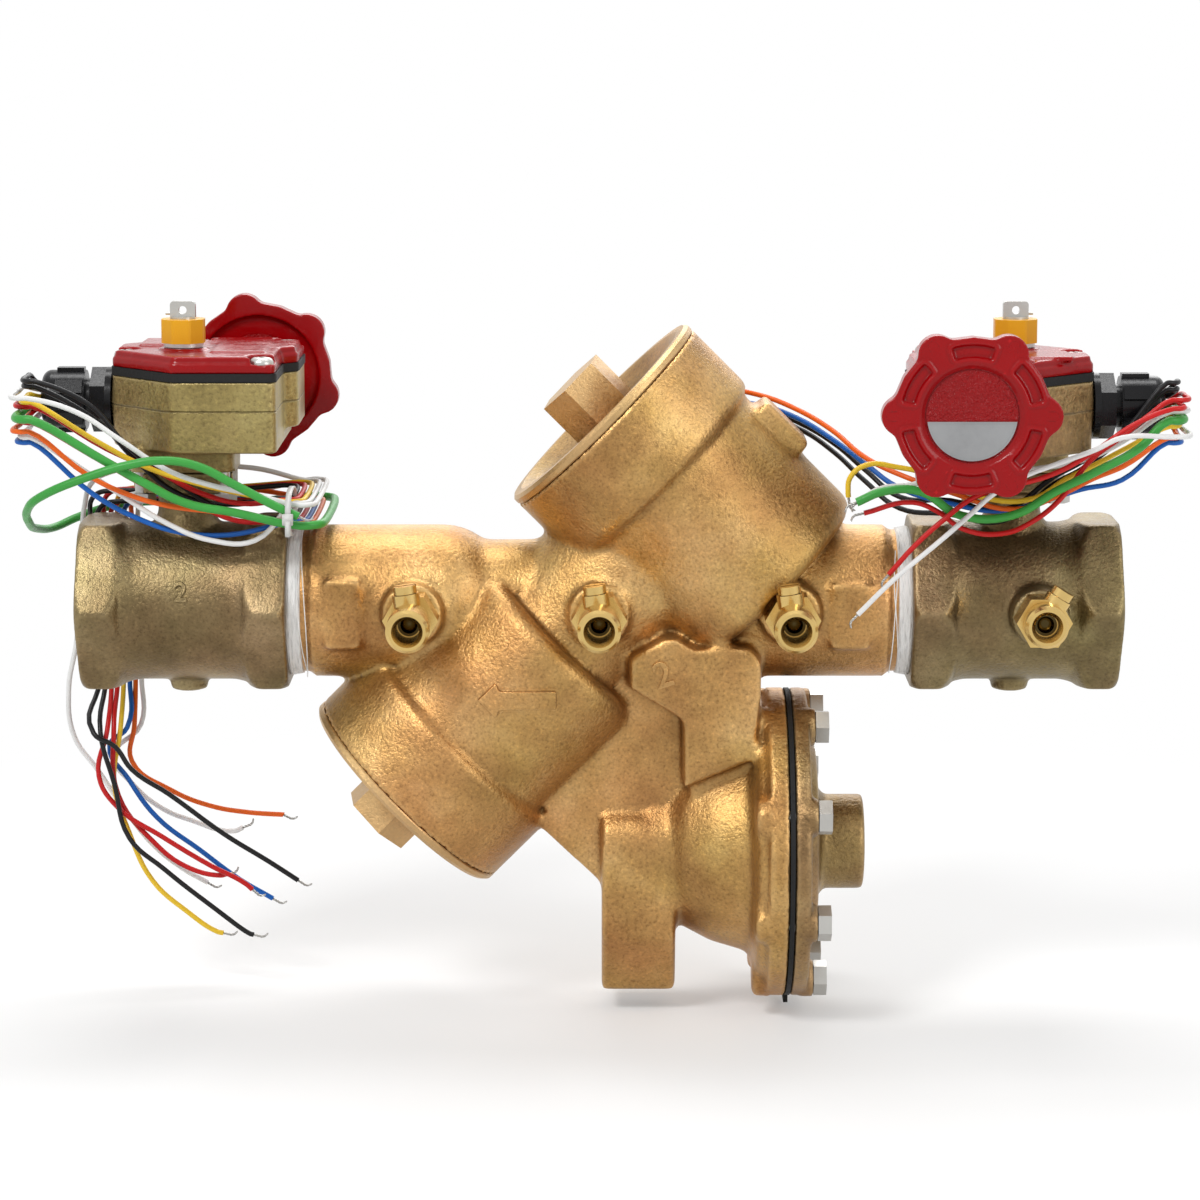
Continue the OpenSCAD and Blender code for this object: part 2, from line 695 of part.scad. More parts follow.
module check_cover_orings() {
  color(black)
    placed() {
      at_check1()
        cover_oring(check1_reach);
      at_check2()
        cover_oring(check2_reach);
    }
}

// Seat ring pressed into the throat, with a raised lip for the poppet
module seat_ring(seat_at) {
  difference() {
    union() {
      translate([0, 0, seat_at - seat_wall + small])
        cylinder(r = seat_ring_r - set_gap, h = seat_wall - small);
      translate([0, 0, seat_at - 1])
        cylinder(r = throat_bore_r + 2.5, h = 1 + seat_lip);
    }
    translate([0, 0, seat_at - seat_wall - 1])
      cylinder(r = throat_bore_r, h = seat_wall + seat_lip + 2);
  }
}

module check_seats() {
  color(brass)
    placed() {
      at_check1()
        seat_ring(seat1_at);
      at_check2()
        seat_ring(seat2_at);
    }
}

// Poppet: disc on the seat lip, guide stem up into the cover's hub
module poppet(seat_at, reach) {
  base = seat_at + seat_lip;
  stem_top = hub_end_at(reach) + hub_len() - check_lift - 2;
  translate([0, 0, base])
    rotate_extrude()
      polygon([[0, 0], [poppet_r, 0], [poppet_r, poppet_t - 1], [poppet_r - 1, poppet_t],
               [hub_r + 1, poppet_t], [guide_r, poppet_t + 6], [guide_r, stem_top - base],
               [0, stem_top - base]]);
}

module check1_poppet() {
  color("dimgray")
    placed()
      at_check1()
        poppet(seat1_at, check1_reach);
}

module check2_poppet() {
  color("dimgray")
    placed()
      at_check2()
        poppet(seat2_at, check2_reach);
}

// Spring between a poppet and its cover
module check_spring(seat_at, reach) {
  base = seat_at + seat_lip + poppet_t;
  translate([0, 0, base])
    coil_spring(21, 1.6, reach - dish_depth - web_t - base, 6);
}

module check1_spring() {
  color(steel)
    placed()
      at_check1()
        check_spring(seat1_at, check1_reach);
}

module check2_spring() {
  color(steel)
    placed()
      at_check2()
        check_spring(seat2_at, check2_reach);
}

// Puts children on the relief valve's axis, local z pointing towards the cover
module at_relief(x = 0) {
  translate([x, 0, -relief_drop])
    rotate([0, 90, 0])
      children();
}

// Turns a profile of [radius, place] points about the relief valve's axis
module relief_turned(points) {
  translate([0, 0, -relief_drop])
    revolve_x(points);
}

module relief_bolt_ring(x) {
  for (i = [0:relief_bolts - 1])
    translate([0, 0, -relief_drop])
      rotate([360 * (i + 0.5) / relief_bolts, 0, 0])
        translate([x, 0, relief_bolt_r])
          rotate([0, 90, 0])
            children();
}

module relief_cover() {
  color(bronze)
    placed()
      difference() {
        union() {
          relief_turned([[0, cover_clamp], [flange_r, cover_clamp],
                         [flange_r, relief_cover_face - 1], [flange_r - 1, relief_cover_face],
                         [46, relief_cover_face], [42, relief_cover_face + 4],
                         [relief_boss_d / 2 + 3, relief_cover_face + 5.5],
                         [relief_boss_d / 2, relief_cover_face + 8],
                         [relief_boss_d / 2, clamp_x + relief_boss_end - 1],
                         [relief_boss_d / 2 - 1, clamp_x + relief_boss_end],
                         [0, clamp_x + relief_boss_end]]);
          relief_bolt_ring(relief_cover_face - 3)
            cylinder(r = 8, h = 6);
        }
        relief_turned([[0, cover_clamp - 1], [bell_r - bell_wall, cover_clamp - 1],
                       [bell_r - bell_wall, cover_clamp + 1], [30, relief_cover_face + 1],
                       [guide_r + run_gap, relief_cover_face + 1],
                       [guide_r + run_gap, clamp_x + relief_boss_end - 6],
                       [0, clamp_x + relief_boss_end - 6]]);
        relief_bolt_ring(cover_clamp - 1)
          cylinder(r = 4 + free_gap, h = 20);
      }
}

module relief_cover_bolts() {
  color(steel)
    placed()
      relief_bolt_ring(relief_cover_face + 3) {
        cylinder(r = 6.5 / cos(30), h = 5.5, $fn = 6);
        translate([0, 0, -relief_cover_t - 3 - diaphragm_t - 8])
          cylinder(r = 4, h = relief_cover_t + 3 + diaphragm_t + 8.5);
      }
}

module relief_diaphragm() {
  color(black)
    placed()
      difference() {
        union() {
          at_relief(clamp_x)
            cylinder(r = flange_r, h = diaphragm_t);
          translate([clamp_x, -6, -relief_drop - flange_r - 4])
            cube([diaphragm_t, 12, 10]);
        }
        at_relief(clamp_x - 1)
          cylinder(r = guide_r + set_gap, h = diaphragm_t + 2);
        relief_bolt_ring(clamp_x - 1)
          cylinder(r = 4 + free_gap, h = diaphragm_t + 2);
      }
}

module relief_seat() {
  color(brass)
    placed()
      relief_turned([[relief_seat_bore / 2, relief_seat_x - 3],
                     [relief_seat_bore / 2 + 4 - set_gap, relief_seat_x - 3],
                     [relief_seat_bore / 2 + 4 - set_gap, relief_seat_x + 3],
                     [relief_seat_bore / 2 + 2.5, relief_seat_x + 4],
                     [relief_seat_bore / 2, relief_seat_x + 4]]);
}

// Stem with the seat disc at one end and the plates that grip the diaphragm
module relief_stem() {
  seat_face = relief_seat_x + 4;
  disc_x = seat_face + relief_travel;
  color(brass)
    placed()
      relief_turned([[0, disc_x - 2], [relief_seat_bore / 2 - 2, disc_x - 2],
                     [relief_seat_bore / 2 - 2, disc_x], [relief_seat_bore / 2 + 4, disc_x],
                     [relief_seat_bore / 2 + 4, disc_x + 4], [guide_r + 2, disc_x + 4],
                     [guide_r, disc_x + 8], [guide_r, clamp_x - plate_t],
                     [plate_r, clamp_x - plate_t], [plate_r, clamp_x - small],
                     [guide_r, clamp_x - small], [guide_r, cover_clamp + small],
                     [guide_r + 4, cover_clamp + small], [guide_r + 4, cover_clamp + 3],
                     [guide_r, cover_clamp + 3], [guide_r, clamp_x + relief_boss_end - 7],
                     [0, clamp_x + relief_boss_end - 7]]);
}

module relief_spring() {
  base = relief_seat_x + 3;
  color(steel)
    placed()
      at_relief(base)
        coil_spring(21.5, 1.5, clamp_x - plate_t - base, 5);
}

// Joint tape wound on the male threads where they enter the valves
module thread_tape() {
  color("white")
    placed()
      for (side = [0, 1])
        mirror([side, 0, 0])
          revolve_x([[thread_d / 2, valve_face - 5.8],
                     [thread_d / 2 + 0.8, valve_face - 5.4],
                     [thread_d / 2 + 1.6, valve_face - 1],
                     [thread_d / 2 + 1.2, valve_face],
                     [port_r + 0.2, valve_face],
                     [port_r + 0.2, valve_face - 1 + small],
                     [thread_d / 2, valve_face - 1 + small]]);
}

// Children once at the inlet valve and once, as they are, at the outlet valve
module at_inlet_valve() {
  translate([valve_x, 0, 0])
    rotate(180)
      children();
}

module at_outlet_valve() {
  translate([-valve_x, 0, 0])
    children();
}

// Hexagon end with chamfered corners, outer face at x = 0
module hex_end() {
  intersection() {
    rotate([0, 90, 0])
      rotate(30)
        cylinder(r = hex_r, h = hex_w, $fn = 6);
    rotate([15, 0, 0])
      revolve_x([[0, 0], [hex_r - 3.2, 0], [hex_r + 0.3, 3.5], [hex_r + 0.3, hex_w - 5],
                 [hex_r - 4, hex_w], [0, hex_w]]);
  }
}

// Butterfly valve body with female threaded ends, cock_side 1 or 0
module valve_body(cock_side) {
  seat_r = disc_d / 2 + run_gap + seat_t;
  difference() {
    union() {
      revolve_x([[0, -valve_len / 2 + 2], [valve_barrel_r, -valve_len / 2 + 2],
                 [valve_barrel_r + 1, -valve_len / 2 + hex_w - 2],
                 [valve_barrel_r + 1, -valve_len / 2 + hex_w + 2],
                 [valve_barrel_r, -valve_len / 2 + hex_w + 6],
                 [valve_barrel_r, valve_len / 2 - hex_w - 6],
                 [valve_barrel_r + 1, valve_len / 2 - hex_w - 2],
                 [valve_barrel_r + 1, valve_len / 2 - hex_w + 2],
                 [valve_barrel_r, valve_len / 2 - 2], [0, valve_len / 2 - 2]]);
      translate([-valve_len / 2, 0, 0])
        hex_end();
      mirror([1, 0, 0])
        translate([-valve_len / 2, 0, 0])
          hex_end();
      translate([0, 0, -valve_barrel_r - 4.8])
        cylinder(r = 8, h = 12);
      valve_tower();
      if (cock_side == 1)
        translate([-8, -cock_places[0][2], 0])
          rotate([90, 0, 0])
            cylinder(r = cock_boss_d / 2 - 1, h = 20);
    }
    rod_x(run_bore_r, -valve_len, valve_len);
    for (side = [0, 1])
      mirror([side, 0, 0])
        rod_x(port_r, valve_len / 2 - port_depth, valve_len);
    rod_x(seat_r + set_gap, -8, 8);
    translate([0, 0, -valve_barrel_r - 1])
      cylinder(r = stem_d / 2 + run_gap, h = through);
    if (cock_side == 1)
      translate([-8, -cock_places[0][2] + 1, 0])
        rotate([90, 0, 0]) {
          cylinder(r = cock_shank_r + set_gap, h = cock_shank_len + 1.5);
          cylinder(r = 2.5, h = 30);
        }
  }
}

// Round neck and square flange that carry the gear housing
module valve_tower() {
  flange_h = 9;
  translate([0, 0, valve_barrel_r - 6])
    cylinder(r1 = tower_r + 5, r2 = tower_r, h = 11);
  cylinder(r = tower_r, h = mount_z - 1);
  difference() {
    translate([0, 0, mount_z - flange_h])
      linear_extrude(height = flange_h)
        rounded_plate(42, 34, 6);
    for (place = bolt_places)
      translate([place[0], place[1], mount_z - flange_h - 1])
        cylinder(r = 3 + free_gap, h = flange_h + 2);
  }
}

// Rounded rectangle about the origin
module rounded_plate(w, d, r) {
  for (sx = [-1, 1])
    for (sy = [-1, 1])
      translate([sx * (w / 2 - r), sy * (d / 2 - r)])
        circle(r = r);
  square([w - 2 * r, d], center = true);
  square([w, d - 2 * r], center = true);
}

module inlet_valve_body() {
  color(valve_bronze)
    placed()
      at_inlet_valve()
        valve_body(1);
}

module outlet_valve_body() {
  color(valve_bronze)
    placed()
      at_outlet_valve()
        valve_body(0);
}

// Rubber ring that the disc closes against
module valve_seat() {
  difference() {
    rod_x(disc_d / 2 + run_gap + seat_t, -8 + small, 8 - small);
    rod_x(disc_d / 2 + run_gap, -10, 10);
    translate([0, 0, -valve_barrel_r])
      cylinder(r = stem_d / 2 + run_gap, h = 2 * valve_barrel_r);
  }
}

module valve_seats() {
  color(black)
    placed() {
      at_inlet_valve()
        valve_seat();
      at_outlet_valve()
        valve_seat();
    }
}

// Butterfly disc, shown open, its hub round the stem
module disc() {
  difference() {
    intersection() {
      sphere(r = disc_d / 2);
      union() {
        cube([disc_d, disc_t, disc_d], center = true);
        cylinder(r = stem_d / 2 + 2.5, h = disc_d, center = true);
      }
    }
    cylinder(r = stem_d / 2 + set_gap, h = disc_d + 2, center = true);
  }
}

module inlet_disc() {
  color(steel)
    placed()
      at_inlet_valve()
        disc();
}

module outlet_disc() {
  color(steel)
    placed()
      at_outlet_valve()
        disc();
}

// Stem from the foot of the valve up to the flat tab on top
module stem() {
  difference() {
    union() {
      translate([0, 0, -valve_barrel_r])
        cylinder(r = stem_d / 2, h = valve_barrel_r + tab_z + 1);
      translate([0, 0, collar_z - 1.6])
        cylinder(r = collar_d / 2 - 0.4, h = 1.6 - small);
      translate([0, 0, tab_z])
        intersection() {
          translate([-5.3, -1.8, 0])
            cube([10.6, 3.6, tab_h]);
          rotate([90, 0, 0])
            translate([0, 0, -3])
              linear_extrude(height = 6)
                rounded_tab();
        }
    }
    translate([0, 0, tab_z + tab_h / 2])
      rotate([90, 0, 0])
        cylinder(r = 1.7, h = 10, center = true);
  }
  translate([-5.3, 0, tab_z + 2.2])
    rotate([0, -90, 0])
      cylinder(r = 0.6, h = 2, $fn = 16);
}

// Outline of the tab with its two top corners rounded
module rounded_tab() {
  r = 1.6;
  translate([-5.3, 0])
    square([10.6, tab_h - r]);
  translate([-5.3 + r, 0])
    square([10.6 - 2 * r, tab_h]);
  for (side = [-1, 1])
    translate([side * (5.3 - r), tab_h - r])
      circle(r = r);
}

module inlet_stem() {
  color(steel)
    placed()
      at_inlet_valve()
        stem();
}

module outlet_stem() {
  color(steel)
    placed()
      at_outlet_valve()
        stem();
}

// Outline of the gear box seen from above, without and with the rear lug
module box_outline(lug) {
  side = lug ? [[box_right, 8], [box_right + 6, 14], [box_right + 6, box_back - 4],
                [box_right + 2, box_back]] : [[box_right, box_back]];
  offset(r = 3, $fn = 16)
    offset(delta = -3)
      polygon(concat([[gland_x, -2], [-2, box_front], [box_right, box_front]], side,
                     [[-1, box_back], [gland_x, gland_y + 14]]));
}

// Columns that the cover screws go into
module screw_columns(r, z0, z1) {
  for (place = screw_places)
    translate([place[0], place[1], z0])
      cylinder(r = r, h = z1 - z0);
}

// Worm shaft's line, local z pointing from the stem's front to the handwheel
module on_worm_line(y) {
  translate([worm_offset, y, worm_z])
    rotate([-90, 0, 0])
      children();
}

module gear_housing() {
  lug_floor = gear_floor + 6;
  inner_floor = gear_floor + box_wall;
  difference() {
    union() {
      translate([0, 0, gear_floor])
        linear_extrude(height = gear_rim - gear_floor)
          box_outline(false);
      translate([0, 0, lug_floor])
        linear_extrude(height = gear_rim - lug_floor)
          box_outline(true);
      translate([0, 0, mount_z])
        linear_extrude(height = gear_floor - mount_z + 1)
          rounded_plate(44, 36, 6);
      translate([gland_x - 1.2, gland_y, gland_z])
        rotate([0, 90, 0])
          cylinder(r = 11.5, h = 6);
      on_worm_line(box_back - 1)
        cylinder(r = 8.2, h = hub_end - box_back + 1);
    }
    difference() {
      translate([0, 0, inner_floor])
        linear_extrude(height = gear_rim)
          offset(delta = -box_wall)
            box_outline(false);
      screw_columns(screw_column_r, inner_floor - 1, gear_rim);
      translate([worm_offset - 7, box_front, inner_floor - 1])
        cube([14, 14, worm_z + 6 - inner_floor + 1]);
      translate([worm_offset - 7, box_back - box_wall - 10, inner_floor - 1])
        cube([14, 12, worm_z + 6 - inner_floor + 1]);
    }
    screw_columns(2 + set_gap, gear_rim - 12, gear_rim + 1);
    translate([0, 0, mount_z - 1])
      cylinder(r = stem_d / 2 + run_gap, h = 20);
    for (place = bolt_places)
      translate([place[0], place[1], mount_z - 1])
        cylinder(r = 3 + set_gap, h = 9);
    on_worm_line(box_front + 6)
      cylinder(r = worm_shaft_d / 2 + run_gap, h = hub_end - box_front);
    translate([gland_x - 3, gland_y, gland_z])
      rotate([0, 90, 0])
        cylinder(r = gland_neck_r + set_gap, h = 12);
  }
}

module inlet_gear_housing() {
  color(valve_bronze)
    placed()
      at_inlet_valve()
        gear_housing();
}

module outlet_gear_housing() {
  color(valve_bronze)
    placed()
      at_outlet_valve()
        gear_housing();
}

// Gasket under the cover, following the rim of the housing
module gear_gasket() {
  difference() {
    translate([0, 0, gear_rim])
      linear_extrude(height = gasket_t)
        offset(delta = 0.4)
          box_outline(true);
    difference() {
      translate([0, 0, gear_rim - 1])
        linear_extrude(height = gasket_t + 2)
          offset(delta = -box_wall)
            box_outline(false);
      screw_columns(screw_column_r, gear_rim - 2, cover_base + 2);
    }
    screw_columns(2 + free_gap, gear_rim - 1, cover_base + 1);
  }
}

module gear_cover_gaskets() {
  color(black)
    placed() {
      at_inlet_valve()
        gear_gasket();
      at_outlet_valve()
        gear_gasket();
    }
}

// Cover with sunk corners for the screws and plain raised panels
module gear_cover() {
  seat_z = cover_base + 3.5;
  difference() {
    union() {
      translate([0, 0, cover_base])
        linear_extrude(height = 4)
          box_outline(true);
      translate([0, 0, cover_base])
        linear_extrude(height = gear_cover_t)
          offset(delta = -1.2)
            box_outline(true);
      cylinder_at(0, 0, cover_top - 1, 10, 2);
      translate([-20, 14, cover_top - 1])
        cube([18, 26, 2]);
      translate([13, -14, cover_top - 1])
        cube([22, 44, 1.8]);
    }
    difference() {
      translate([0, 0, cover_base - 1])
        linear_extrude(height = 4)
          offset(delta = -box_wall)
            box_outline(false);
      screw_columns(screw_column_r, cover_base - 2, cover_base + 4);
    }
    for (place = screw_places)
      translate([place[0], place[1], seat_z])
        cylinder(r = 6.2, h = 20);
    screw_columns(2 + free_gap, cover_base - 2, cover_base + 20);
    translate([0, 0, cover_base - 1])
      cylinder(r = stem_d / 2 + run_gap, h = 20);
  }
}

module cylinder_at(x, y, z, r, h) {
  translate([x, y, z])
    cylinder(r = r, h = h);
}

module inlet_gear_cover() {
  color(enamel)
    placed()
      at_inlet_valve()
        gear_cover();
}

module outlet_gear_cover() {
  color(enamel)
    placed()
      at_outlet_valve()
        gear_cover();
}

// Pan head screw with a cross recess, standing in its column
module cover_screw() {
  head_z = cover_base + 3.5;
  difference() {
    union() {
      translate([0, 0, head_z - 14])
        cylinder(r = 2, h = 14.5);
      translate([0, 0, head_z])
        rotate_extrude()
          polygon(concat([[0, 0]], [[5, 0]], arc(2.6, 0.4, 2.4, 0, 90, 5), [[0, 2.8]]));
    }
    for (turn = [20, 110])
      translate([0, 0, head_z + 2.2])
        rotate(turn)
          cube([5, 1, 3], center = true);
  }
}

module gear_cover_screws() {
  color(steel)
    placed() {
      at_inlet_valve()
        for (place = screw_places)
          translate(place)
            cover_screw();
      at_outlet_valve()
        for (place = screw_places)
          translate(place)
            cover_screw();
    }
}

// Hexagon bolt pushed up through the valve flange into the housing
module mounting_bolt() {
  flange_under = mount_z - 9;
  translate([0, 0, flange_under - 4])
    cylinder(r = 5 / cos(30), h = 4, $fn = 6);
  translate([0, 0, flange_under - 1])
    cylinder(r = 3, h = 16);
}

module gear_mounting_bolts() {
  color(steel)
    placed() {
      at_inlet_valve()
        for (place = bolt_places)
          translate(place)
            mounting_bolt();
      at_outlet_valve()
        for (place = bolt_places)
          translate(place)
            mounting_bolt();
    }
}

// Worm gear keyed to the stem, with the cam that works the switches
module worm_gear() {
  tip_r = gear_pitch_r + 1;
  root_r = gear_pitch_r - 1.2;
  difference() {
    union() {
      translate([0, 0, worm_z - gear_t / 2])
        linear_extrude(height = gear_t)
          polygon([for (i = [0:gear_teeth - 1]) let(a = 360 * i / gear_teeth)
              each [for (c = [[root_r, -0.85], [tip_r, -0.45], [tip_r, 0.45], [root_r, 0.85]])
                  [c[0] * cos(a) - c[1] * sin(a), c[0] * sin(a) + c[1] * cos(a)]]]);
      cylinder_at(0, 0, worm_z - 12, 8.5, 12);
      intersection() {
        cylinder_at(0, 0, worm_z - 12, 10.4, 5);
        translate([-11, -3, worm_z - 13])
          cube([11, 6, 8]);
      }
    }
    cylinder_at(0, 0, worm_z - 20, stem_d / 2 + set_gap, 40);
  }
}

module inlet_worm_gear() {
  color(brass)
    placed()
      at_inlet_valve()
        worm_gear();
}

module outlet_worm_gear() {
  color(brass)
    placed()
      at_outlet_valve()
        worm_gear();
}

// Right hand single start thread about z, its middle at z = 0
module worm_thread(root_r, tip_r) {
  per_turn = 12;
  turns = 4;
  steps = turns * per_turn;
  section = [[root_r - 0.6, -0.95], [tip_r, -0.4], [tip_r, 0.4], [root_r - 0.6, 0.95]];
  rings = [for (i = [0:steps]) let(a = 360 * (i / per_turn - turns / 2))
      [for (c = section) [c[0] * cos(a), c[0] * sin(a), worm_pitch * a / 360 + c[1]]]];
  swept(rings, 4);
}

// Worm shaft from its front bearing to the handwheel's hub
module worm_shaft() {
  root_r = worm_offset - gear_pitch_r - 1.3;
  tip_r = root_r + 2.2;
  front = box_front + 7;
  on_worm_line(front)
    cylinder(r = worm_shaft_d / 2, h = wheel_y - 5 - front);
  on_worm_line(-9)
    cylinder(r = root_r, h = 18);
  on_worm_line(0)
    worm_thread(root_r, tip_r);
  on_worm_line(box_front + 14 + free_gap)
    cylinder(r = 6, h = 2);
}

module inlet_worm_shaft() {
  color(steel)
    placed()
      at_inlet_valve()
        worm_shaft();
}

module outlet_worm_shaft() {
  color(steel)
    placed()
      at_outlet_valve()
        worm_shaft();
}

// Outline of the handwheel with its lobes blended into the rim
module wheel_outline() {
  lobe_r = 8;
  offset(r = -5, $fn = 24)
    offset(r = 5, $fn = 24)
      union() {
        circle(r = wheel_r - 4.6);
        for (i = [0:wheel_lobes - 1])
          rotate(360 * i / wheel_lobes)
            translate([wheel_r - lobe_r, 0])
              circle(r = lobe_r);
      }
}

// Oblong pocket in the wheel's face between two lobes
module wheel_pocket() {
  for (side = [-1, 1])
    translate([side * 5.5, 0])
      circle(r = 2.2);
  square([11, 4.4], center = true);
}

// Handwheel with its hub towards the gear box, lobes turned by a
module handwheel(a) {
  face = wheel_t / 2;
  on_worm_line(wheel_y)
    rotate(a)
      difference() {
        union() {
          translate([0, 0, -face])
            linear_extrude(height = wheel_t)
              wheel_outline();
          translate([0, 0, hub_end + 0.5 - wheel_y])
            cylinder(r = 9, h = wheel_y - hub_end - 0.5);
          for (i = [0:wheel_lobes - 1])
            rotate(360 * (i + 0.5) / wheel_lobes)
              translate([0, 27.3, face - 1])
                rotate(90)
                  linear_extrude(height = 1.6)
                    offset(r = 1, $fn = 16)
                      wheel_pocket();
        }
        translate([0, 0, -face - 1])
          difference() {
            cylinder(r = wheel_r - 10, h = 4.2);
            cylinder(r = 9, h = 4.2);
          }
        translate([0, 0, face - 2.4])
          cylinder(r1 = 18.5, r2 = 20.5, h = 2.41);
        for (i = [0:wheel_lobes - 1])
          rotate(360 * (i + 0.5) / wheel_lobes)
            translate([0, 27.3, face - 1])
              rotate(90)
                linear_extrude(height = 4)
                  wheel_pocket();
        translate([0, 0, hub_end - wheel_y - 1])
          cylinder(r = worm_shaft_d / 2 + set_gap, h = wheel_y - 5 - hub_end + 1.1);
      }
}

module inlet_handwheel() {
  color(enamel)
    placed()
      at_inlet_valve()
        handwheel(0);
}

module outlet_handwheel() {
  color(enamel)
    placed()
      at_outlet_valve()
        handwheel(18);
}

// Indicator collar clamped on the stem above the cover
module indicator() {
  difference() {
    intersection() {
      cylinder_at(0, 0, collar_z, collar_d / 2 / cos(22.5), collar_h - 0.01);
      translate([0, 0, collar_z])
        rotate(22.5)
          cylinder(r = collar_d / 2 / cos(22.5) + 0.2, h = collar_h - 0.01, $fn = 8);
    }
    cylinder_at(0, 0, collar_z - 1, stem_d / 2 + set_gap, collar_h + 2);
  }
}

module inlet_indicator() {
  color("gold")
    placed()
      at_inlet_valve()
        indicator();
}

module outlet_indicator() {
  color("gold")
    placed()
      at_outlet_valve()
        indicator();
}

// Puts children on a gland's axis, local z pointing out of the box
module on_gland() {
  translate([gland_x - 1.2, gland_y, gland_z])
    rotate([0, -90, 0])
      children();
}

// Gland body: neck through the wall, washer flange, hexagon and thread. The bore is closed by
// the seal that the wires pass through
module gland_body() {
  on_gland()
    difference() {
      union() {
        translate([0, 0, -3.4])
          cylinder(r = gland_neck_r, h = 5);
        cylinder(r = gland_r, h = 2.6);
        translate([0, 0, 2])
          cylinder(r = gland_r, h = gland_hex, $fn = 6);
        cylinder(r = gland_neck_r, h = gland_body_len);
      }
      translate([0, 0, -6])
        cylinder(r = gland_bore / 2, h = gland_seal_z - gland_seal_t + 6);
      translate([0, 0, gland_seal_z])
        cylinder(r = gland_bore / 2, h = 20);
    }
}

module cable_gland_bodies() {
  color(black)
    placed() {
      at_inlet_valve()
        gland_body();
      at_outlet_valve()
        gland_body();
    }
}

// Dome nut with ribs round it, screwed on the gland body's thread, with a flared mouth
module gland_nut() {
  start = gland_hex + 4.5;
  end = start + gland_nut + gland_dome_r - 0.5;
  nut_r = gland_af / 2 + 0.6;
  bore_r = gland_bore / 2;
  on_gland()
    difference() {
      union() {
        rotate_extrude()
          polygon(concat([[0, start], [nut_r, start]],
                         arc(nut_r - gland_dome_r, end - gland_dome_r, gland_dome_r, 0, 80, 6),
                         [[bore_r + gland_flare, end], [0, end]]));
        for (i = [0:5])
          rotate(60 * i)
            translate([nut_r - 2, -3, start + 0.6])
              cube([3.2, 6, gland_nut - 3.6]);
      }
      translate([0, 0, start - 1])
        cylinder(r = gland_neck_r + set_gap, h = gland_body_len - start + 1.3);
      rotate_extrude()
        polygon(concat([[0, start], [bore_r, start]],
                       arc(bore_r + gland_flare, end - gland_flare, gland_flare, 180, 100, 5),
                       [[bore_r + gland_flare + 0.2, end + 1], [0, end + 1]]));
    }
}

module cable_gland_nuts() {
  color(black)
    placed() {
      at_inlet_valve()
        gland_nut();
      at_outlet_valve()
        gland_nut();
    }
}

// Two small switches on the housing floor, worked by the cam on the gear hub
module switch_pair() {
  floor_z = gear_floor + box_wall;
  for (y = [-5, 5.5])
    translate([-20.4, y, floor_z]) {
      cube([8.5, 9, 11]);
      translate([8, 3, 6])
        cube([1.6, 3, 2.5]);
    }
}

module tamper_switches() {
  color(black)
    placed() {
      at_inlet_valve()
        switch_pair();
      at_outlet_valve()
        switch_pair();
    }
}

// Puts children at test cock i: local z pointing out of the boss
module at_cock(i) {
  translate([cock_places[i][0], cock_places[i][2], 0])
    rotate([90, 0, 0])
      children();
}

function cock_len(i) = cock_places[i][2] - cock_places[i][1];

// Where the ball sits along a test cock, from the boss face
function ball_at(i) = cock_len(i) * 0.4;

// Body of a test cock: shank, hexagon, nozzle, and the collar of its stem
module cock_body(i) {
  length = cock_len(i);
  ball = ball_at(i);
  pocket_r = cock_ball_r + 0.1;
  low = acos(3 / pocket_r);
  high = acos(cock_seat_r / pocket_r);
  bore_from = ball + pocket_r + 0.5;
  at_cock(i)
    difference() {
      union() {
        rotate_extrude()
          polygon([[0, -cock_shank_len], [cock_shank_r - 0.8, -cock_shank_len],
                   [cock_shank_r, 0.8 - cock_shank_len], [cock_shank_r, 0],
                   [cock_af / 2 - 0.2, 0], [cock_d / 2 - 0.9, cock_hex_w],
                   [cock_d / 2 - 0.9, length - 10], [cock_r - 0.4, length - 9.4],
                   [cock_r - 0.4, length - 1.4], [cock_r - 1.6, length], [0, length]]);
        cylinder(r = cock_af / 2 / cos(30), h = cock_hex_w, $fn = 6);
        rotate(cock_places[i][3])
          translate([0, 0, ball])
            rotate([-90, 0, 0])
              cylinder(r = 5.6, h = 12);
      }
      rotate_extrude()
        polygon(concat([[0, -cock_shank_len - 1], [3, -cock_shank_len - 1]],
                       arc(0, ball, pocket_r, -low, high, 10),
                       [[cock_seat_r, bore_from], [cock_bore_r, bore_from],
                        [cock_bore_r, length - 2], [cock_bore_r + 1.6, length + 0.1],
                        [0, length + 0.1]]));
      rotate(cock_places[i][3])
        translate([0, 0, ball])
          rotate([-90, 0, 0])
            cylinder(r = 3 + run_gap, h = 20);
    }
}

module test_cock_bodies() {
  color(brass)
    placed()
      for (i = [0:3])
        cock_body(i);
}

// Ball with its stem and the slotted tab that a screwdriver turns
module cock_stem(i) {
  ball = ball_at(i);
  at_cock(i)
    rotate(cock_places[i][3])
      translate([0, 0, ball])
        rotate([-90, 0, 0])
          difference() {
            union() {
              sphere(r = cock_ball_r);
              cylinder(r = 3, h = 12.4);
              translate([0, 0, 12.2])
                cylinder(r = 4.8, h = 3.2);
            }
            rotate([0, 90, 0])
              cylinder(r = 3, h = 20, center = true);
            translate([-6, -0.8, 13.8])
              cube([12, 1.6, 4]);
          }
}

module test_cock_stem_1() {
  color(brass)
    placed()
      cock_stem(0);
}

module test_cock_stem_2() {
  color(brass)
    placed()
      cock_stem(1);
}

module test_cock_stem_3() {
  color(brass)
    placed()
      cock_stem(2);
}

module test_cock_stem_4() {
  color(brass)
    placed()
      cock_stem(3);
}

function unit(v) = v / norm(v);

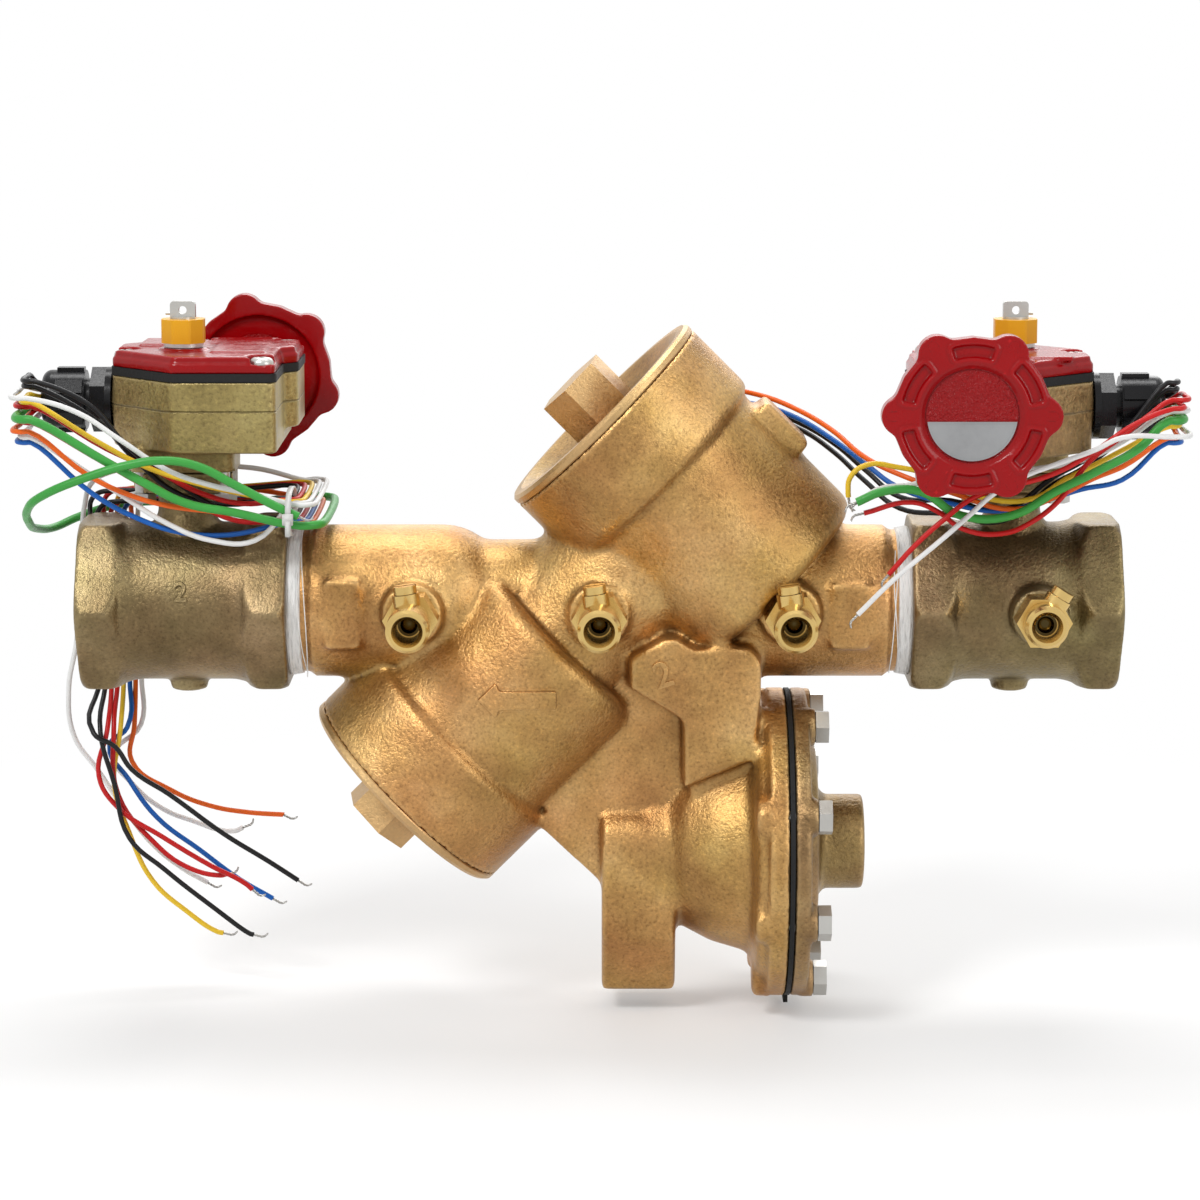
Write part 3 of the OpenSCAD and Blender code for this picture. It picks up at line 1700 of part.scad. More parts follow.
// Mean direction of a route at its point i
function heading(p, i) =
  unit(unit(p[min(i, len(p) - 2) + 1] - p[min(i, len(p) - 2)]) + unit(p[max(i, 1)] - p[max(i, 1) - 1]));

// Side directions along a route from point i on, carried along without twist
function carried(p, i, side) =
  let(t = heading(p, i), s = unit(side - (side * t) * t))
  i == len(p) - 1 ? [s] : concat([s], carried(p, i + 1, s));

// One plain wire along a route
module wire(route, d) {
  sides = carried(route, 0, [0, 0, 1]);
  swept([for (i = [0:len(route) - 1]) let(u = sides[i], v = cross(u, heading(route, i)))
             [for (k = [0:7]) route[i] + d / 2 * (cos(45 * k) * u + sin(45 * k) * v)]], 8);
}

module wires(routes, d = wire_d) {
  placed()
    for (route = routes)
      wire(route, d);
}

module inlet_wires_black() {
  color(black)
    wires([inlet_black_1, inlet_black_2]);
}

module inlet_wires_red() {
  color(wire_red)
    wires([inlet_red_1, inlet_red_2]);
}

module inlet_wires_white() {
  color(wire_white)
    wires([inlet_white_1, inlet_white_2]);
}

module inlet_wire_orange() {
  color(wire_orange)
    wires([inlet_orange]);
}

module inlet_wire_blue() {
  color(wire_blue)
    wires([inlet_blue]);
}

module inlet_wire_yellow() {
  color(yellow)
    wires([inlet_yellow]);
}

module inlet_wire_green() {
  color(wire_green)
    wires([inlet_green], earth_d);
}

module outlet_wires_black() {
  color(black)
    wires([outlet_black_1, outlet_black_2]);
}

module outlet_wires_red() {
  color(wire_red)
    wires([outlet_red_1, outlet_red_2]);
}

module outlet_wires_white() {
  color(wire_white)
    wires([outlet_white_1, outlet_white_2]);
}

module outlet_wire_orange() {
  color(wire_orange)
    wires([outlet_orange]);
}

module outlet_wire_blue() {
  color(wire_blue)
    wires([outlet_blue]);
}

module outlet_wire_yellow() {
  color(yellow)
    wires([outlet_yellow]);
}

module outlet_wire_green() {
  color(wire_green)
    wires([outlet_green], earth_d);
}

main_body();
check1_cover();
check2_cover();
check_cover_orings();
check_seats();
check1_spring();
check2_spring();
check1_poppet();
check2_poppet();
relief_cover();
relief_cover_bolts();
relief_diaphragm();
relief_seat();
relief_spring();
relief_stem();
thread_tape();
inlet_valve_body();
outlet_valve_body();
valve_seats();
inlet_disc();
outlet_disc();
inlet_stem();
outlet_stem();
inlet_gear_housing();
outlet_gear_housing();
inlet_gear_cover();
outlet_gear_cover();
gear_cover_gaskets();
gear_cover_screws();
gear_mounting_bolts();
inlet_worm_gear();
outlet_worm_gear();
inlet_worm_shaft();
outlet_worm_shaft();
inlet_handwheel();
outlet_handwheel();
inlet_indicator();
outlet_indicator();
cable_gland_bodies();
cable_gland_nuts();
tamper_switches();
test_cock_bodies();
test_cock_stem_1();
test_cock_stem_2();
test_cock_stem_3();
test_cock_stem_4();
inlet_wires_black();
inlet_wires_red();
inlet_wires_white();
inlet_wire_orange();
inlet_wire_blue();
inlet_wire_yellow();
inlet_wire_green();
outlet_wires_black();
outlet_wires_red();
outlet_wires_white();
outlet_wire_orange();
outlet_wire_blue();
outlet_wire_yellow();
outlet_wire_green();
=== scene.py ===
"""Looks of the backflow preventer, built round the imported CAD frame."""
import json
import math

import bmesh
import bpy
import numpy as np
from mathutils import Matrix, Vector


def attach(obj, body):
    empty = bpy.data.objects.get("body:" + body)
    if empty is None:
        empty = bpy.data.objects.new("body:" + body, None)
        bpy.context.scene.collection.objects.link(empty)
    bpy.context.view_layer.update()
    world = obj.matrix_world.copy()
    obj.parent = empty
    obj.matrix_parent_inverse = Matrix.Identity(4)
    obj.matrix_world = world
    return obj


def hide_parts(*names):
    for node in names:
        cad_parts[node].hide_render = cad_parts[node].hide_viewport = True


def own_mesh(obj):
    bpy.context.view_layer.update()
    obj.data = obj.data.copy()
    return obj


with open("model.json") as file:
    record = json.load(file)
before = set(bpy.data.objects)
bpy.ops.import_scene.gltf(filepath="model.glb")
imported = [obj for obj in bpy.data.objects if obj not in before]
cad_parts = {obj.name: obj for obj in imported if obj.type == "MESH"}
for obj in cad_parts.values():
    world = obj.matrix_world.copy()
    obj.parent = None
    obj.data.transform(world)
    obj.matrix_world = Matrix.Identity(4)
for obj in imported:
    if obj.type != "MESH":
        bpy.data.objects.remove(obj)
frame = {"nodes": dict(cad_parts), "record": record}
nodes = frame["nodes"]
scene = bpy.context.scene
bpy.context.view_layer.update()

MM = 0.001
HALF_LENGTH = 219.0     # from mid-length to the inlet port, mm
RUN_HALF = 120.6        # half the casting's length over its pipe ends, mm
VALVE_X = 175.0         # from mid-length to a shut-off valve's stem, mm
WHEEL_X = VALVE_X - 25  # from mid-length to a handwheel's axis, mm
WHEEL_Z = 88.0
WHEEL_OUT = 78.1        # from the middle plane to the sunk centre of a wheel's face, mm
PEBBLED_R = 18.6
RELIEF_Z = -105.0       # the relief valve's axis, mm
COCK_BORE_R = 4.5
COCKS_X = (183.0, 80.0, 0.0, -78.0)    # the test cocks, from mid-length, mm


def place(x, y, z):
    """A point given in mm from mid-length, in the row frame's metres."""
    return Vector(((x - HALF_LENGTH) * MM, y * MM, z * MM))


def linked(name, data):
    """An object with this name and data, added to the scene."""
    obj = bpy.data.objects.new(name, data)
    scene.collection.objects.link(obj)
    return obj


ELEVATION = math.radians(9.5)
DISTANCE = 1.65
LENS = 116.3
TARGET = place(0.3, 0, 0)

camera_data = bpy.data.cameras.new("camera")
camera_data.lens = LENS
camera_data.sensor_width = 36
camera_data.clip_end = 20
camera = linked("camera", camera_data)
camera.location = TARGET + DISTANCE * Vector((0, -math.cos(ELEVATION), math.sin(ELEVATION)))
camera.rotation_euler = (math.pi / 2 - ELEVATION, 0, 0)
scene.camera = camera


class Nodes:
    """A material's node tree with short ways to add and link nodes."""

    def __init__(self, name):
        self.material = bpy.data.materials.new(name)
        self.material.use_nodes = True
        self.tree = self.material.node_tree
        self.shader = self.tree.nodes["Principled BSDF"]
        self.spot = self.add("ShaderNodeTexCoord").outputs["Object"]

    def add(self, kind, **values):
        node = self.tree.nodes.new(kind)
        for key, value in values.items():
            if key in node.inputs:
                self.feed(node.inputs[key], value)
            else:
                setattr(node, key, value)
        return node

    def feed(self, socket, value):
        if isinstance(value, bpy.types.NodeSocket):
            self.tree.links.new(value, socket)
        else:
            socket.default_value = value

    def noise(self, scale, detail=4.0, rough=0.55, at=None):
        node = self.add("ShaderNodeTexNoise", Scale=scale, Detail=detail, Roughness=rough)
        self.tree.links.new(at or self.spot, node.inputs["Vector"])
        return node.outputs["Fac"]

    def ramp(self, value, stops):
        node = self.add("ShaderNodeValToRGB")
        node.color_ramp.elements[0].position = stops[0][0]
        node.color_ramp.elements[0].color = (*stops[0][1], 1)
        node.color_ramp.elements[1].position = stops[-1][0]
        node.color_ramp.elements[1].color = (*stops[-1][1], 1)
        for position, colour in stops[1:-1]:
            node.color_ramp.elements.new(position).color = (*colour, 1)
        self.tree.links.new(value, node.inputs["Fac"])
        return node.outputs["Color"]

    def spread(self, value, low, high, from_low=0.3, from_high=0.7):
        node = self.add("ShaderNodeMapRange")
        limits = {"From Min": from_low, "From Max": from_high, "To Min": low, "To Max": high}
        for key, number in limits.items():
            node.inputs[key].default_value = number
        self.tree.links.new(value, node.inputs["Value"])
        return node.outputs["Result"]

    def math(self, operation, a, b=0.0):
        node = self.add("ShaderNodeMath", operation=operation)
        self.feed(node.inputs[0], a)
        self.feed(node.inputs[1], b)
        return node.outputs[0]

    def axes(self):
        node = self.add("ShaderNodeSeparateXYZ")
        self.tree.links.new(self.spot, node.inputs[0])
        return node.outputs

    def off(self, x, y, z):
        """The surface's place, measured from a point given in mm from mid-length."""
        node = self.add("ShaderNodeVectorMath", operation="SUBTRACT")
        self.tree.links.new(self.spot, node.inputs[0])
        node.inputs[1].default_value = place(x, y, z)
        return node.outputs[0]

    def length(self, vector):
        node = self.add("ShaderNodeVectorMath", operation="LENGTH")
        self.tree.links.new(vector, node.inputs[0])
        return node.outputs["Value"]

    def edges(self):
        """Over 0.5 on edges that stand out, under 0.5 in corners."""
        return self.add("ShaderNodeNewGeometry").outputs["Pointiness"]

    def bump(self, height, distance, strength=1.0, onto=None):
        node = self.add("ShaderNodeBump", Strength=strength, Distance=distance)
        self.tree.links.new(height, node.inputs["Height"])
        if onto is not None:
            self.tree.links.new(onto, node.inputs["Normal"])
        return node.outputs["Normal"]

    def mix(self, factor, a, b, blend_type="MIX"):
        node = self.add("ShaderNodeMix", data_type="RGBA", blend_type=blend_type)
        self.feed(node.inputs[0], factor)
        self.feed(node.inputs[6], a)
        self.feed(node.inputs[7], b)
        return node.outputs[2]

    def finish(self, **sockets):
        for key, value in sockets.items():
            self.feed(self.shader.inputs[key.replace("_", " ")], value)
        return self.material


def shade(colour, share):
    return tuple(share * c for c in colour) + (1,)


# How a casting's hue drifts slowly over its surface, to either side of its own tone.
ROSIER = (1.04, 0.93, 0.97)
UNCHANGED = (1.0, 1.0, 1.0)
GREENER = (0.93, 1.0, 0.88)


def cast(name, dark, mid, light, grain=780.0, depth=0.0004, metallic=0.85, seam_z=None):
    """Sand-cast metal: patches of tone, a pitted grain, painted shade and grime in the corners,
    and worn edges with painted highlights.
    """
    n = Nodes(name)
    tone = n.ramp(n.noise(24, 5, 0.6), [(0.3, dark), (0.5, mid), (0.72, light)])
    drift = n.ramp(n.noise(15, 3, 0.5), [(0.34, ROSIER), (0.5, UNCHANGED), (0.66, GREENER)])
    tone = n.mix(1.0, tone, drift, "MULTIPLY")
    fine = n.noise(grain, 3, 0.6)
    speck = n.ramp(fine, [(0.3, (0.66, 0.63, 0.60)), (0.45, (0.95, 0.94, 0.93)),
                          (0.6, (1.08, 1.07, 1.04)), (0.72, (1.35, 1.32, 1.25))])
    colour = n.mix(1.0, tone, speck, "MULTIPLY")
    bend = n.edges()
    # Painted shade and grime: corners are darkened towards a dark bronze, standing in for the
    # shade that falls there.
    shade_and_grime = n.spread(bend, 0.75, 0.0, 0.44, 0.495)
    colour = n.mix(shade_and_grime, colour, shade(dark, 0.45))
    # Painted highlight and wear: edges that stand out are lightened beyond the lightest tone.
    wear_and_highlight = n.spread(bend, 0.0, 0.5, 0.515, 0.56)
    colour = n.mix(wear_and_highlight, colour, shade(light, 1.25))
    lumps = n.bump(n.noise(140, 3, 0.5), depth * 1.8, 0.5)
    normal = n.bump(fine, depth, 0.85, lumps)
    if seam_z is not None:
        line = n.math("SUBTRACT", n.axes()[2], seam_z * MM)
        wander = n.math("MULTIPLY", n.math("SUBTRACT", n.noise(60), 0.5), 0.0012)
        gap = n.math("ABSOLUTE", n.math("ADD", line, wander))
        seam = n.spread(gap, 1.0, 0.0, 0.0001, 0.0006)
        colour = n.mix(n.math("MULTIPLY", seam, 0.6), colour, shade(dark, 0.4))
        normal = n.bump(seam, -0.0005, 0.9, normal)
    return n.finish(Base_Color=colour, Metallic=metallic, Roughness=n.spread(fine, 0.3, 0.46),
                    Normal=normal)


def machined(name, colour, roughness=0.25, metallic=1.0, streak=0.00004, bores=()):
    """Turned or plated metal with faint tool marks, with painted shade making the bores at the
    given x nearly black.
    """
    n = Nodes(name)
    mottle = n.noise(60, 4, 0.6)
    tone = n.mix(n.spread(mottle, 0.0, 0.35), (*colour, 1), shade(colour, 0.6))
    # Painted shade: within each test cock's bore radius the brass, and the ball seen there, are
    # painted nearly black.
    for x in bores:
        flat = n.add("ShaderNodeVectorMath", operation="MULTIPLY")
        n.tree.links.new(n.off(x, 0, 0), flat.inputs[0])
        flat.inputs[1].default_value = (1, 0, 1)
        inside = n.spread(n.length(flat.outputs[0]), 0.93, 0.0, COCK_BORE_R * MM,
                          (COCK_BORE_R + 0.4) * MM)
        tone = n.mix(inside, tone, shade(colour, 0.03))
    normal = n.bump(n.noise(1500, 2, 0.5), streak, 0.6)
    return n.finish(Base_Color=tone, Metallic=metallic,
                    Roughness=n.spread(mottle, roughness * 0.8, roughness * 1.4), Normal=normal)


def enamel(name, colour, faces=()):
    """Thick glossy paint over a casting, pebbled inside round faces given as (x, y, z, radius),
    with painted shade in its corners and painted highlights with wear on its edges.
    """
    n = Nodes(name)
    soft = n.noise(180, 3, 0.5)
    tone = n.mix(n.spread(n.noise(35), 0.0, 0.35), (*colour, 1), shade(colour, 0.6))
    bend = n.edges()
    # Painted shade in the corners and recesses, then painted highlight and wear on the edges that
    # stand out.
    tone = n.mix(n.spread(bend, 0.8, 0.0, 0.42, 0.5), tone, shade(colour, 0.35))
    rubbed_and_highlit = tuple(min(1, 1.9 * c + 0.01) for c in colour) + (1,)
    tone = n.mix(n.spread(bend, 0.0, 0.4, 0.52, 0.6), tone, rubbed_and_highlit)
    normal = n.bump(soft, 0.0004, 0.5)
    pebble = n.noise(430, 3, 0.65)
    for x, y, z, radius in faces:
        inside = n.spread(n.length(n.off(x, y, z)), 1.0, 0.0, radius * MM, (radius + 0.6) * MM)
        normal = n.bump(n.math("MULTIPLY", pebble, inside), 0.0022, 1.0, normal)
    return n.finish(Base_Color=tone, Metallic=0.0, Roughness=n.spread(soft, 0.16, 0.3),
                    Normal=normal, Specular_IOR_Level=0.16, Coat_Weight=0.15, Coat_Roughness=0.06)


def plastic(name, colour, roughness=0.35):
    """Moulded plastic or rubber with a very fine grain."""
    n = Nodes(name)
    fine = n.noise(900, 3, 0.5)
    tone = n.mix(n.spread(n.noise(45), 0.0, 0.3), (*colour, 1), shade(colour, 0.7))
    return n.finish(Base_Color=tone, Roughness=n.spread(fine, roughness * 0.8, roughness * 1.25),
                    Normal=n.bump(fine, 0.00005, 0.5), Specular_IOR_Level=0.22)


def tape(name):
    """Thread seal tape, creased round the pipe, with painted shade in the creases."""
    n = Nodes(name)
    stretch = n.add("ShaderNodeMapping")
    stretch.inputs["Scale"].default_value = (9.0, 1.0, 1.0)
    n.tree.links.new(n.spot, stretch.inputs["Vector"])
    creases = n.noise(130, 4, 0.65, stretch.outputs[0])
    # Painted shade: the tape is greyer where the creases sink.
    tone = n.ramp(creases, [(0.3, (0.55, 0.55, 0.54)), (0.5, (0.8, 0.8, 0.79)),
                            (0.7, (0.86, 0.86, 0.85))])
    return n.finish(Base_Color=tone, Roughness=n.spread(creases, 0.4, 0.6),
                    Normal=n.bump(creases, 0.0009, 0.9))


def insulation(name, colour):
    """Smooth wire insulation with a faint draw grain."""
    n = Nodes(name)
    grain = n.noise(420, 3, 0.6)
    tone = n.mix(n.spread(n.noise(70), 0.0, 0.3), (*colour, 1), shade(colour, 0.65))
    return n.finish(Base_Color=tone, Roughness=n.spread(grain, 0.28, 0.42),
                    Normal=n.bump(grain, 0.00006, 0.5), Specular_IOR_Level=0.25)


BODY = cast("body_bronze", (0.30, 0.158, 0.052), (0.47, 0.275, 0.098), (0.62, 0.40, 0.17))
COVER = cast("cover_bronze", (0.24, 0.135, 0.05), (0.40, 0.245, 0.10), (0.56, 0.38, 0.18),
             depth=0.00022)
RELIEF = cast("relief_bronze", (0.17, 0.10, 0.045), (0.30, 0.19, 0.085), (0.44, 0.30, 0.15))
VALVE = cast("valve_bronze", (0.115, 0.083, 0.036), (0.205, 0.152, 0.072), (0.34, 0.265, 0.14))
GEAR = cast("gear_bronze", (0.20, 0.14, 0.052), (0.33, 0.24, 0.098), (0.46, 0.355, 0.165),
            grain=560.0, metallic=0.6, seam_z=84.0)
BRASS = machined("yellow_brass", (0.70, 0.49, 0.18), 0.2, bores=COCKS_X)
ZINC = machined("plated_steel", (0.55, 0.54, 0.51), 0.3)
TINNED = machined("tinned_strands", (0.45, 0.44, 0.42), 0.35)
RED = enamel("red_enamel", (0.30, 0.0004, 0.002),
             [(side * WHEEL_X, -side * WHEEL_OUT, WHEEL_Z, PEBBLED_R) for side in (1, -1)])
PLATE = machined("stamped_plate", (0.33, 0.335, 0.34), 0.45, 0.6, 0.00008)
BLACK_NYLON = plastic("black_nylon", (0.006, 0.006, 0.007), 0.24)
BLACK_RUBBER = plastic("black_rubber", (0.014, 0.014, 0.014), 0.6)
GREY_PLASTIC = plastic("grey_plastic", (0.10, 0.10, 0.10), 0.45)
YELLOW = plastic("yellow_plastic", (0.80, 0.40, 0.015))
CLEAR_TIE = plastic("wire_tie", (0.62, 0.62, 0.60), 0.3)
TAPE = tape("white_tape")
WIRE_LOOKS = {
    "black": insulation("wire_black", (0.010, 0.010, 0.011)),
    "red": insulation("wire_red", (0.55, 0.012, 0.012)),
    "white": insulation("wire_white", (0.78, 0.78, 0.77)),
    "orange": insulation("wire_orange", (0.82, 0.13, 0.012)),
    "blue": insulation("wire_blue", (0.010, 0.115, 0.46)),
    "yellow": insulation("wire_yellow", (0.83, 0.55, 0.035)),
    "green": insulation("wire_green", (0.05, 0.33, 0.055)),
}

BY_SLOT = {
    "body_bronze": BODY, "cover_bronze": COVER, "relief_bronze": RELIEF, "valve_bronze": VALVE,
    "gear_bronze": GEAR, "red_enamel": RED, "yellow_brass": BRASS, "black_rubber": BLACK_RUBBER,
    "black_nylon": BLACK_NYLON, "grey_plastic": GREY_PLASTIC, "yellow_plastic": YELLOW,
    "white_tape": TAPE, "plated_steel": ZINC,
}
for colour, look in WIRE_LOOKS.items():
    BY_SLOT["wire_" + colour] = look
for part in frame["record"]["subparts"]:
    slots = nodes[part["node"]].data.materials
    slots.clear()
    slots.append(BY_SLOT[part["material_slot"]])


# The wires, in mm: x from mid-length, the lanes at their own distance from the middle plane.
GLAND_Y = 12.0
GLAND_Z = 84.5
WIRE_RING = 3.9         # radius of the ring on which they come out of the gland
WIRE_BEND = 6.0
WIRE_OUT = 226.0        # where the wires' routes begin, in the gland
BEND_AT = 235.0
DROP_BEND = 8.0
WIRE_D = 2.2
EARTH_D = 3.6
BARE = 6.5              # length of a wire's bare end
TWIST_R = 0.33          # radius on which the strands of a bare end are twisted
STRAND_R = 0.28


def joined(*lists):
    """One list of all the points."""
    return [point for row in lists for point in row]


def in_lane(y, pairs):
    """Points at one depth, from pairs of x and z."""
    return [(x, y, z) for x, z in pairs]


def turn(i):
    """Sine and cosine of a twelfth of a turn, i times."""
    return math.sin(math.radians(30 * i)), math.cos(math.radians(30 * i))


def wire_start(side, angle, level, lane, reach, ring=WIRE_RING, bend=WIRE_BEND, out=BEND_AT):
    """Out of the gland, round to the front and back along the wire's lane."""
    y = ring * math.cos(math.radians(angle)) - side * GLAND_Y
    z = GLAND_Z + ring * math.sin(math.radians(angle))
    b = min(bend, (y + lane) / 2)
    straight = y + lane - 2 * b
    points = [(side * WIRE_OUT, y, z), (side * (out - 3), y, z)]
    for i, share in enumerate((0.1, 0.35, 0.65, 0.9)):
        s, c = turn(i)
        points.append((side * (out + (reach - out) * s), y - b * (1 - c), z + (level - z) * share))
    if straight > WIRE_BEND:
        points.append((side * reach, (y - lane) / 2, level))
    for i in range(3 if straight > 0.5 else 2, -1, -1):
        s, c = turn(i)
        points.append((side * (out + (reach - out) * s), b * (1 - c) - lane, level))
    return points


def neck_loop(x, z, lane, bend=WIRE_BEND):
    """Round the neck between the valve and the main body, from the front lane to the rear one."""
    steps = [(bend * (1 - turn(i)[0]), bend * (1 - turn(i)[1])) for i in range(4)]
    return ([(x - a, b - lane, z) for a, b in steps]
            + [(x - a, lane - b, z) for a, b in reversed(steps)])


def wire_drop(x, lane, z):
    """Down behind the outlet valve, past its hexagon and back into the rear lane."""
    points = []
    for i in range(4):
        s, c = turn(i)
        points.append((x + DROP_BEND * (1 - s), lane + DROP_BEND / 2 * (1 - c),
                       z - DROP_BEND * (1 - c)))
    return points + [(x, lane / 2 + 27, z / 2 + 4), (x, 47, 6), (x, 47.5, -18), (x, 46, -42),
                     (x, lane, -62)]


def inlet_route(angle, level, lane, reach, front, end=()):
    """Along the front lane, and for some wires on behind the first check chamber."""
    return joined(wire_start(1, angle, level, lane, reach), in_lane(-lane, front), end)


def outlet_route(angle, level, lane, reach, neck_x, neck_z, rear_z, drop_x, front, hanging):
    """Along the front lane, round the neck, back behind the valve and down to the hanging end."""
    return joined(wire_start(-1, angle, level, lane, reach), in_lane(-lane, front),
                  neck_loop(neck_x, neck_z, lane), [(-165, lane, rear_z)],
                  wire_drop(drop_x, lane, rear_z), in_lane(lane, hanging))


ROUTES = {
    "inlet_black_1": inlet_route(90, 96, 30, 240.5,
        [[216, 74], [200, 63], [189, 57], [168, 43], [146, 47]],
        [[126, -20, 47], [112, -9, 57], [100, 7, 66], [86, 22, 73], [70, 33, 78], [54, 42, 76],
         [42, 50, 66], [34, 56, 48]]),
    "inlet_black_2": inlet_route(130, 92.8, 27.5, 240.5,
        [[216, 72], [201, 60], [190, 54], [168, 38], [145, 41]],
        [[126, -18, 42], [112, -6, 52], [100, 10, 62], [86, 26, 70], [70, 38, 74], [54, 47, 70],
         [44, 54, 56], [38, 58, 36]]),
    "inlet_red_1": inlet_route(50, 90.2, 42.5, 243.2,
        [[226, 84], [216, 76], [202, 65], [190, 49], [179, 40], [167, 35], [150, 37], [140, 44],
         [129, 48], [103, 42]]),
    "inlet_red_2": inlet_route(170, 87.6, 49.5, 240.3,
        [[219, 81], [203, 70], [187, 61], [171, 56], [154, 51], [142, 42], [130, 31], [115, 14]]),
    "inlet_white_1": inlet_route(-30, 76.3, 52, 242.8,
        [[214, 76], [203, 71], [187, 65], [174, 60], [162, 53], [152, 44], [142, 35], [121, 17],
         [102, -2]]),
    "inlet_white_2": inlet_route(10, 85.2, 40, 243.4,
        [[216, 73], [202, 66], [183, 62], [164, 60], [145, 59], [129, 55], [115, 53], [103, 45]]),
    "inlet_orange": inlet_route(-110, 73.8, 35, 240.5,
        [[217, 62], [205, 57], [191, 50], [172, 44], [146, 51]],
        [[126, -26, 57], [112, -18, 63], [98, 0, 73], [84, 14, 80], [68, 25, 85], [54, 38, 85],
         [40, 48, 79], [28, 56, 67]]),
    "inlet_blue": inlet_route(-70, 71.3, 32.5, 242,
        [[217, 56], [200, 52], [184, 47], [168, 43], [146, 46]],
        [[124, -23, 52], [112, -14, 60], [98, 3, 69], [84, 18, 76], [68, 31, 80], [54, 44, 79],
         [40, 52, 71], [30, 58, 56]]),
    "inlet_yellow": inlet_route(218, 78.8, 37.5, 240.3,
        [[218, 70], [205, 63], [193, 57], [180, 49], [160, 49], [140, 58], [123, 62], [111, 63],
         [104, 58], [103, 51], [104, 43]]),
    "inlet_green": joined(
        wire_start(1, 0, 82.1, 46, 241.3, 0, 9, 233.5),
        in_lane(-46, [[222, 71], [204, 61], [188, 53], [170, 43], [149, 43], [132, 53], [117, 53],
                      [100, 46]])),
    "outlet_black_1": outlet_route(90, 96, 23, 240.5, -127.6, 38.5, 39, -216.6,
        [[-212, 86], [-197, 69], [-177, 54], [-155, 41]],
        [[-211, -85], [-205, -109], [-190, -123], [-169, -140], [-153, -152], [-145, -154]]),
    "outlet_black_2": outlet_route(130, 93.4, 20.5, 240.5, -129, 46.5, 44, -219.2,
        [[-208, 78], [-194, 63], [-175, 48], [-155, 44]],
        [[-210, -68], [-203, -78], [-187, -89], [-163, -107], [-144, -119], [-126, -131]]),
    "outlet_red_1": outlet_route(10, 85.5, 25.5, 243.4, -126.2, 46.5, 44, -214,
        [[-205, 68], [-185, 59], [-165, 49], [-148, 45]],
        [[-218, -82], [-210, -96], [-191, -109], [-170, -122], [-155, -130], [-147, -137]]),
    "outlet_red_2": outlet_route(218, 79.2, 28, 240.3, -124.8, 38.5, 39, -211.4,
        [[-205, 62], [-187, 52], [-166, 44], [-150, 38]],
        [[-210, -91], [-195, -112], [-181, -123], [-166, -127], [-157, -125]]),
    "outlet_white_1": outlet_route(50, 90.8, 40.5, 243, -117.8, 46.5, 39, -201,
        [[-215, 85], [-198, 74], [-178, 61], [-161, 55], [-143, 51]],
        [[-213, -76], [-205, -89], [-192, -100], [-180, -105], [-161, -110], [-151, -106]]),
    "outlet_white_2": joined(
        wire_start(-1, 250, 74.1, 35.5, 240.3),
        in_lane(-35.5, [[-201, 52], [-179, 38], [-161, 31], [-143, 31]]),
        neck_loop(-120.6, 46.5, 35.5),
        [[-150, 35.5, 52], [-195, 35.5, 52], [-212, 35.5, 50], [-220, 36, 45], [-223, 37, 36],
         [-225, 38, 20]],
        in_lane(38, [[-228, -24], [-232, -46], [-230, -67], [-220, -82], [-209, -99], [-196, -116],
                     [-184, -126], [-167, -136]])),
    "outlet_orange": outlet_route(-30, 76.6, 38, 243, -119.2, 38.5, 44, -203.6,
        [[-212, 59], [-196, 51], [-179, 46], [-155, 43]],
        [[-205, -78], [-188, -91], [-171, -98], [-154, -101], [-139, -102], [-133, -105]]),
    "outlet_blue": outlet_route(-70, 71.5, 33, 242, -122, 38.5, 39, -206.2,
        [[-210, 50], [-192, 40], [-174, 34], [-154, 33]],
        [[-214, -70], [-206, -85], [-194, -102], [-175, -117], [-158, -130], [-138, -142]]),
    "outlet_yellow": outlet_route(170, 88, 30.5, 240.3, -123.4, 46.5, 44, -208.8,
        [[-207, 71], [-188, 61], [-170, 55], [-154, 51]],
        [[-212, -87], [-206, -108], [-196, -130], [-181, -144], [-168, -153], [-159, -155]]),
    "outlet_green": joined(
        wire_start(-1, 0, 82.4, 44, 241.3, 0, 9, 233.5),
        in_lane(-44, [[-203, 65], [-187, 56], [-171, 48], [-151, 44]]),
        neck_loop(-114.5, 38.5, 44, 9),
        [[-150, 46, 36], [-190, 47, 36], [-212, 46, 34], [-226, 41, 30], [-235, 30, 27],
         [-240, 12, 29], [-240, -12, 35], [-238, -30, 43], [-231, -42, 50]],
        in_lane(-47.5, [[-208, 60], [-194, 64], [-180, 66], [-166, 64], [-150, 56], [-133, 47],
                        [-118, 40]])),
}


def round_curve(name, radius, resolution, material):
    """A curve still without lines, round in section and with closed ends; radius in metres."""
    data = bpy.data.curves.new(name, "CURVE")
    data.dimensions = "3D"
    data.bevel_depth = radius
    data.bevel_resolution = resolution
    data.use_fill_caps = True
    data.materials.append(material)
    return data


def add_smooth(data, points):
    """Adds a smooth line through points given in metres."""
    spline = data.splines.new("BEZIER")
    spline.bezier_points.add(len(points) - 1)
    for knot, point in zip(spline.bezier_points, points):
        knot.co = point
        knot.handle_left_type = knot.handle_right_type = "AUTO"


def add_straight(data, points):
    """Adds a line of straight stretches through points given in metres."""
    spline = data.splines.new("POLY")
    spline.points.add(len(points) - 1)
    for knot, point in zip(spline.points, points):
        knot.co = (*point, 1)


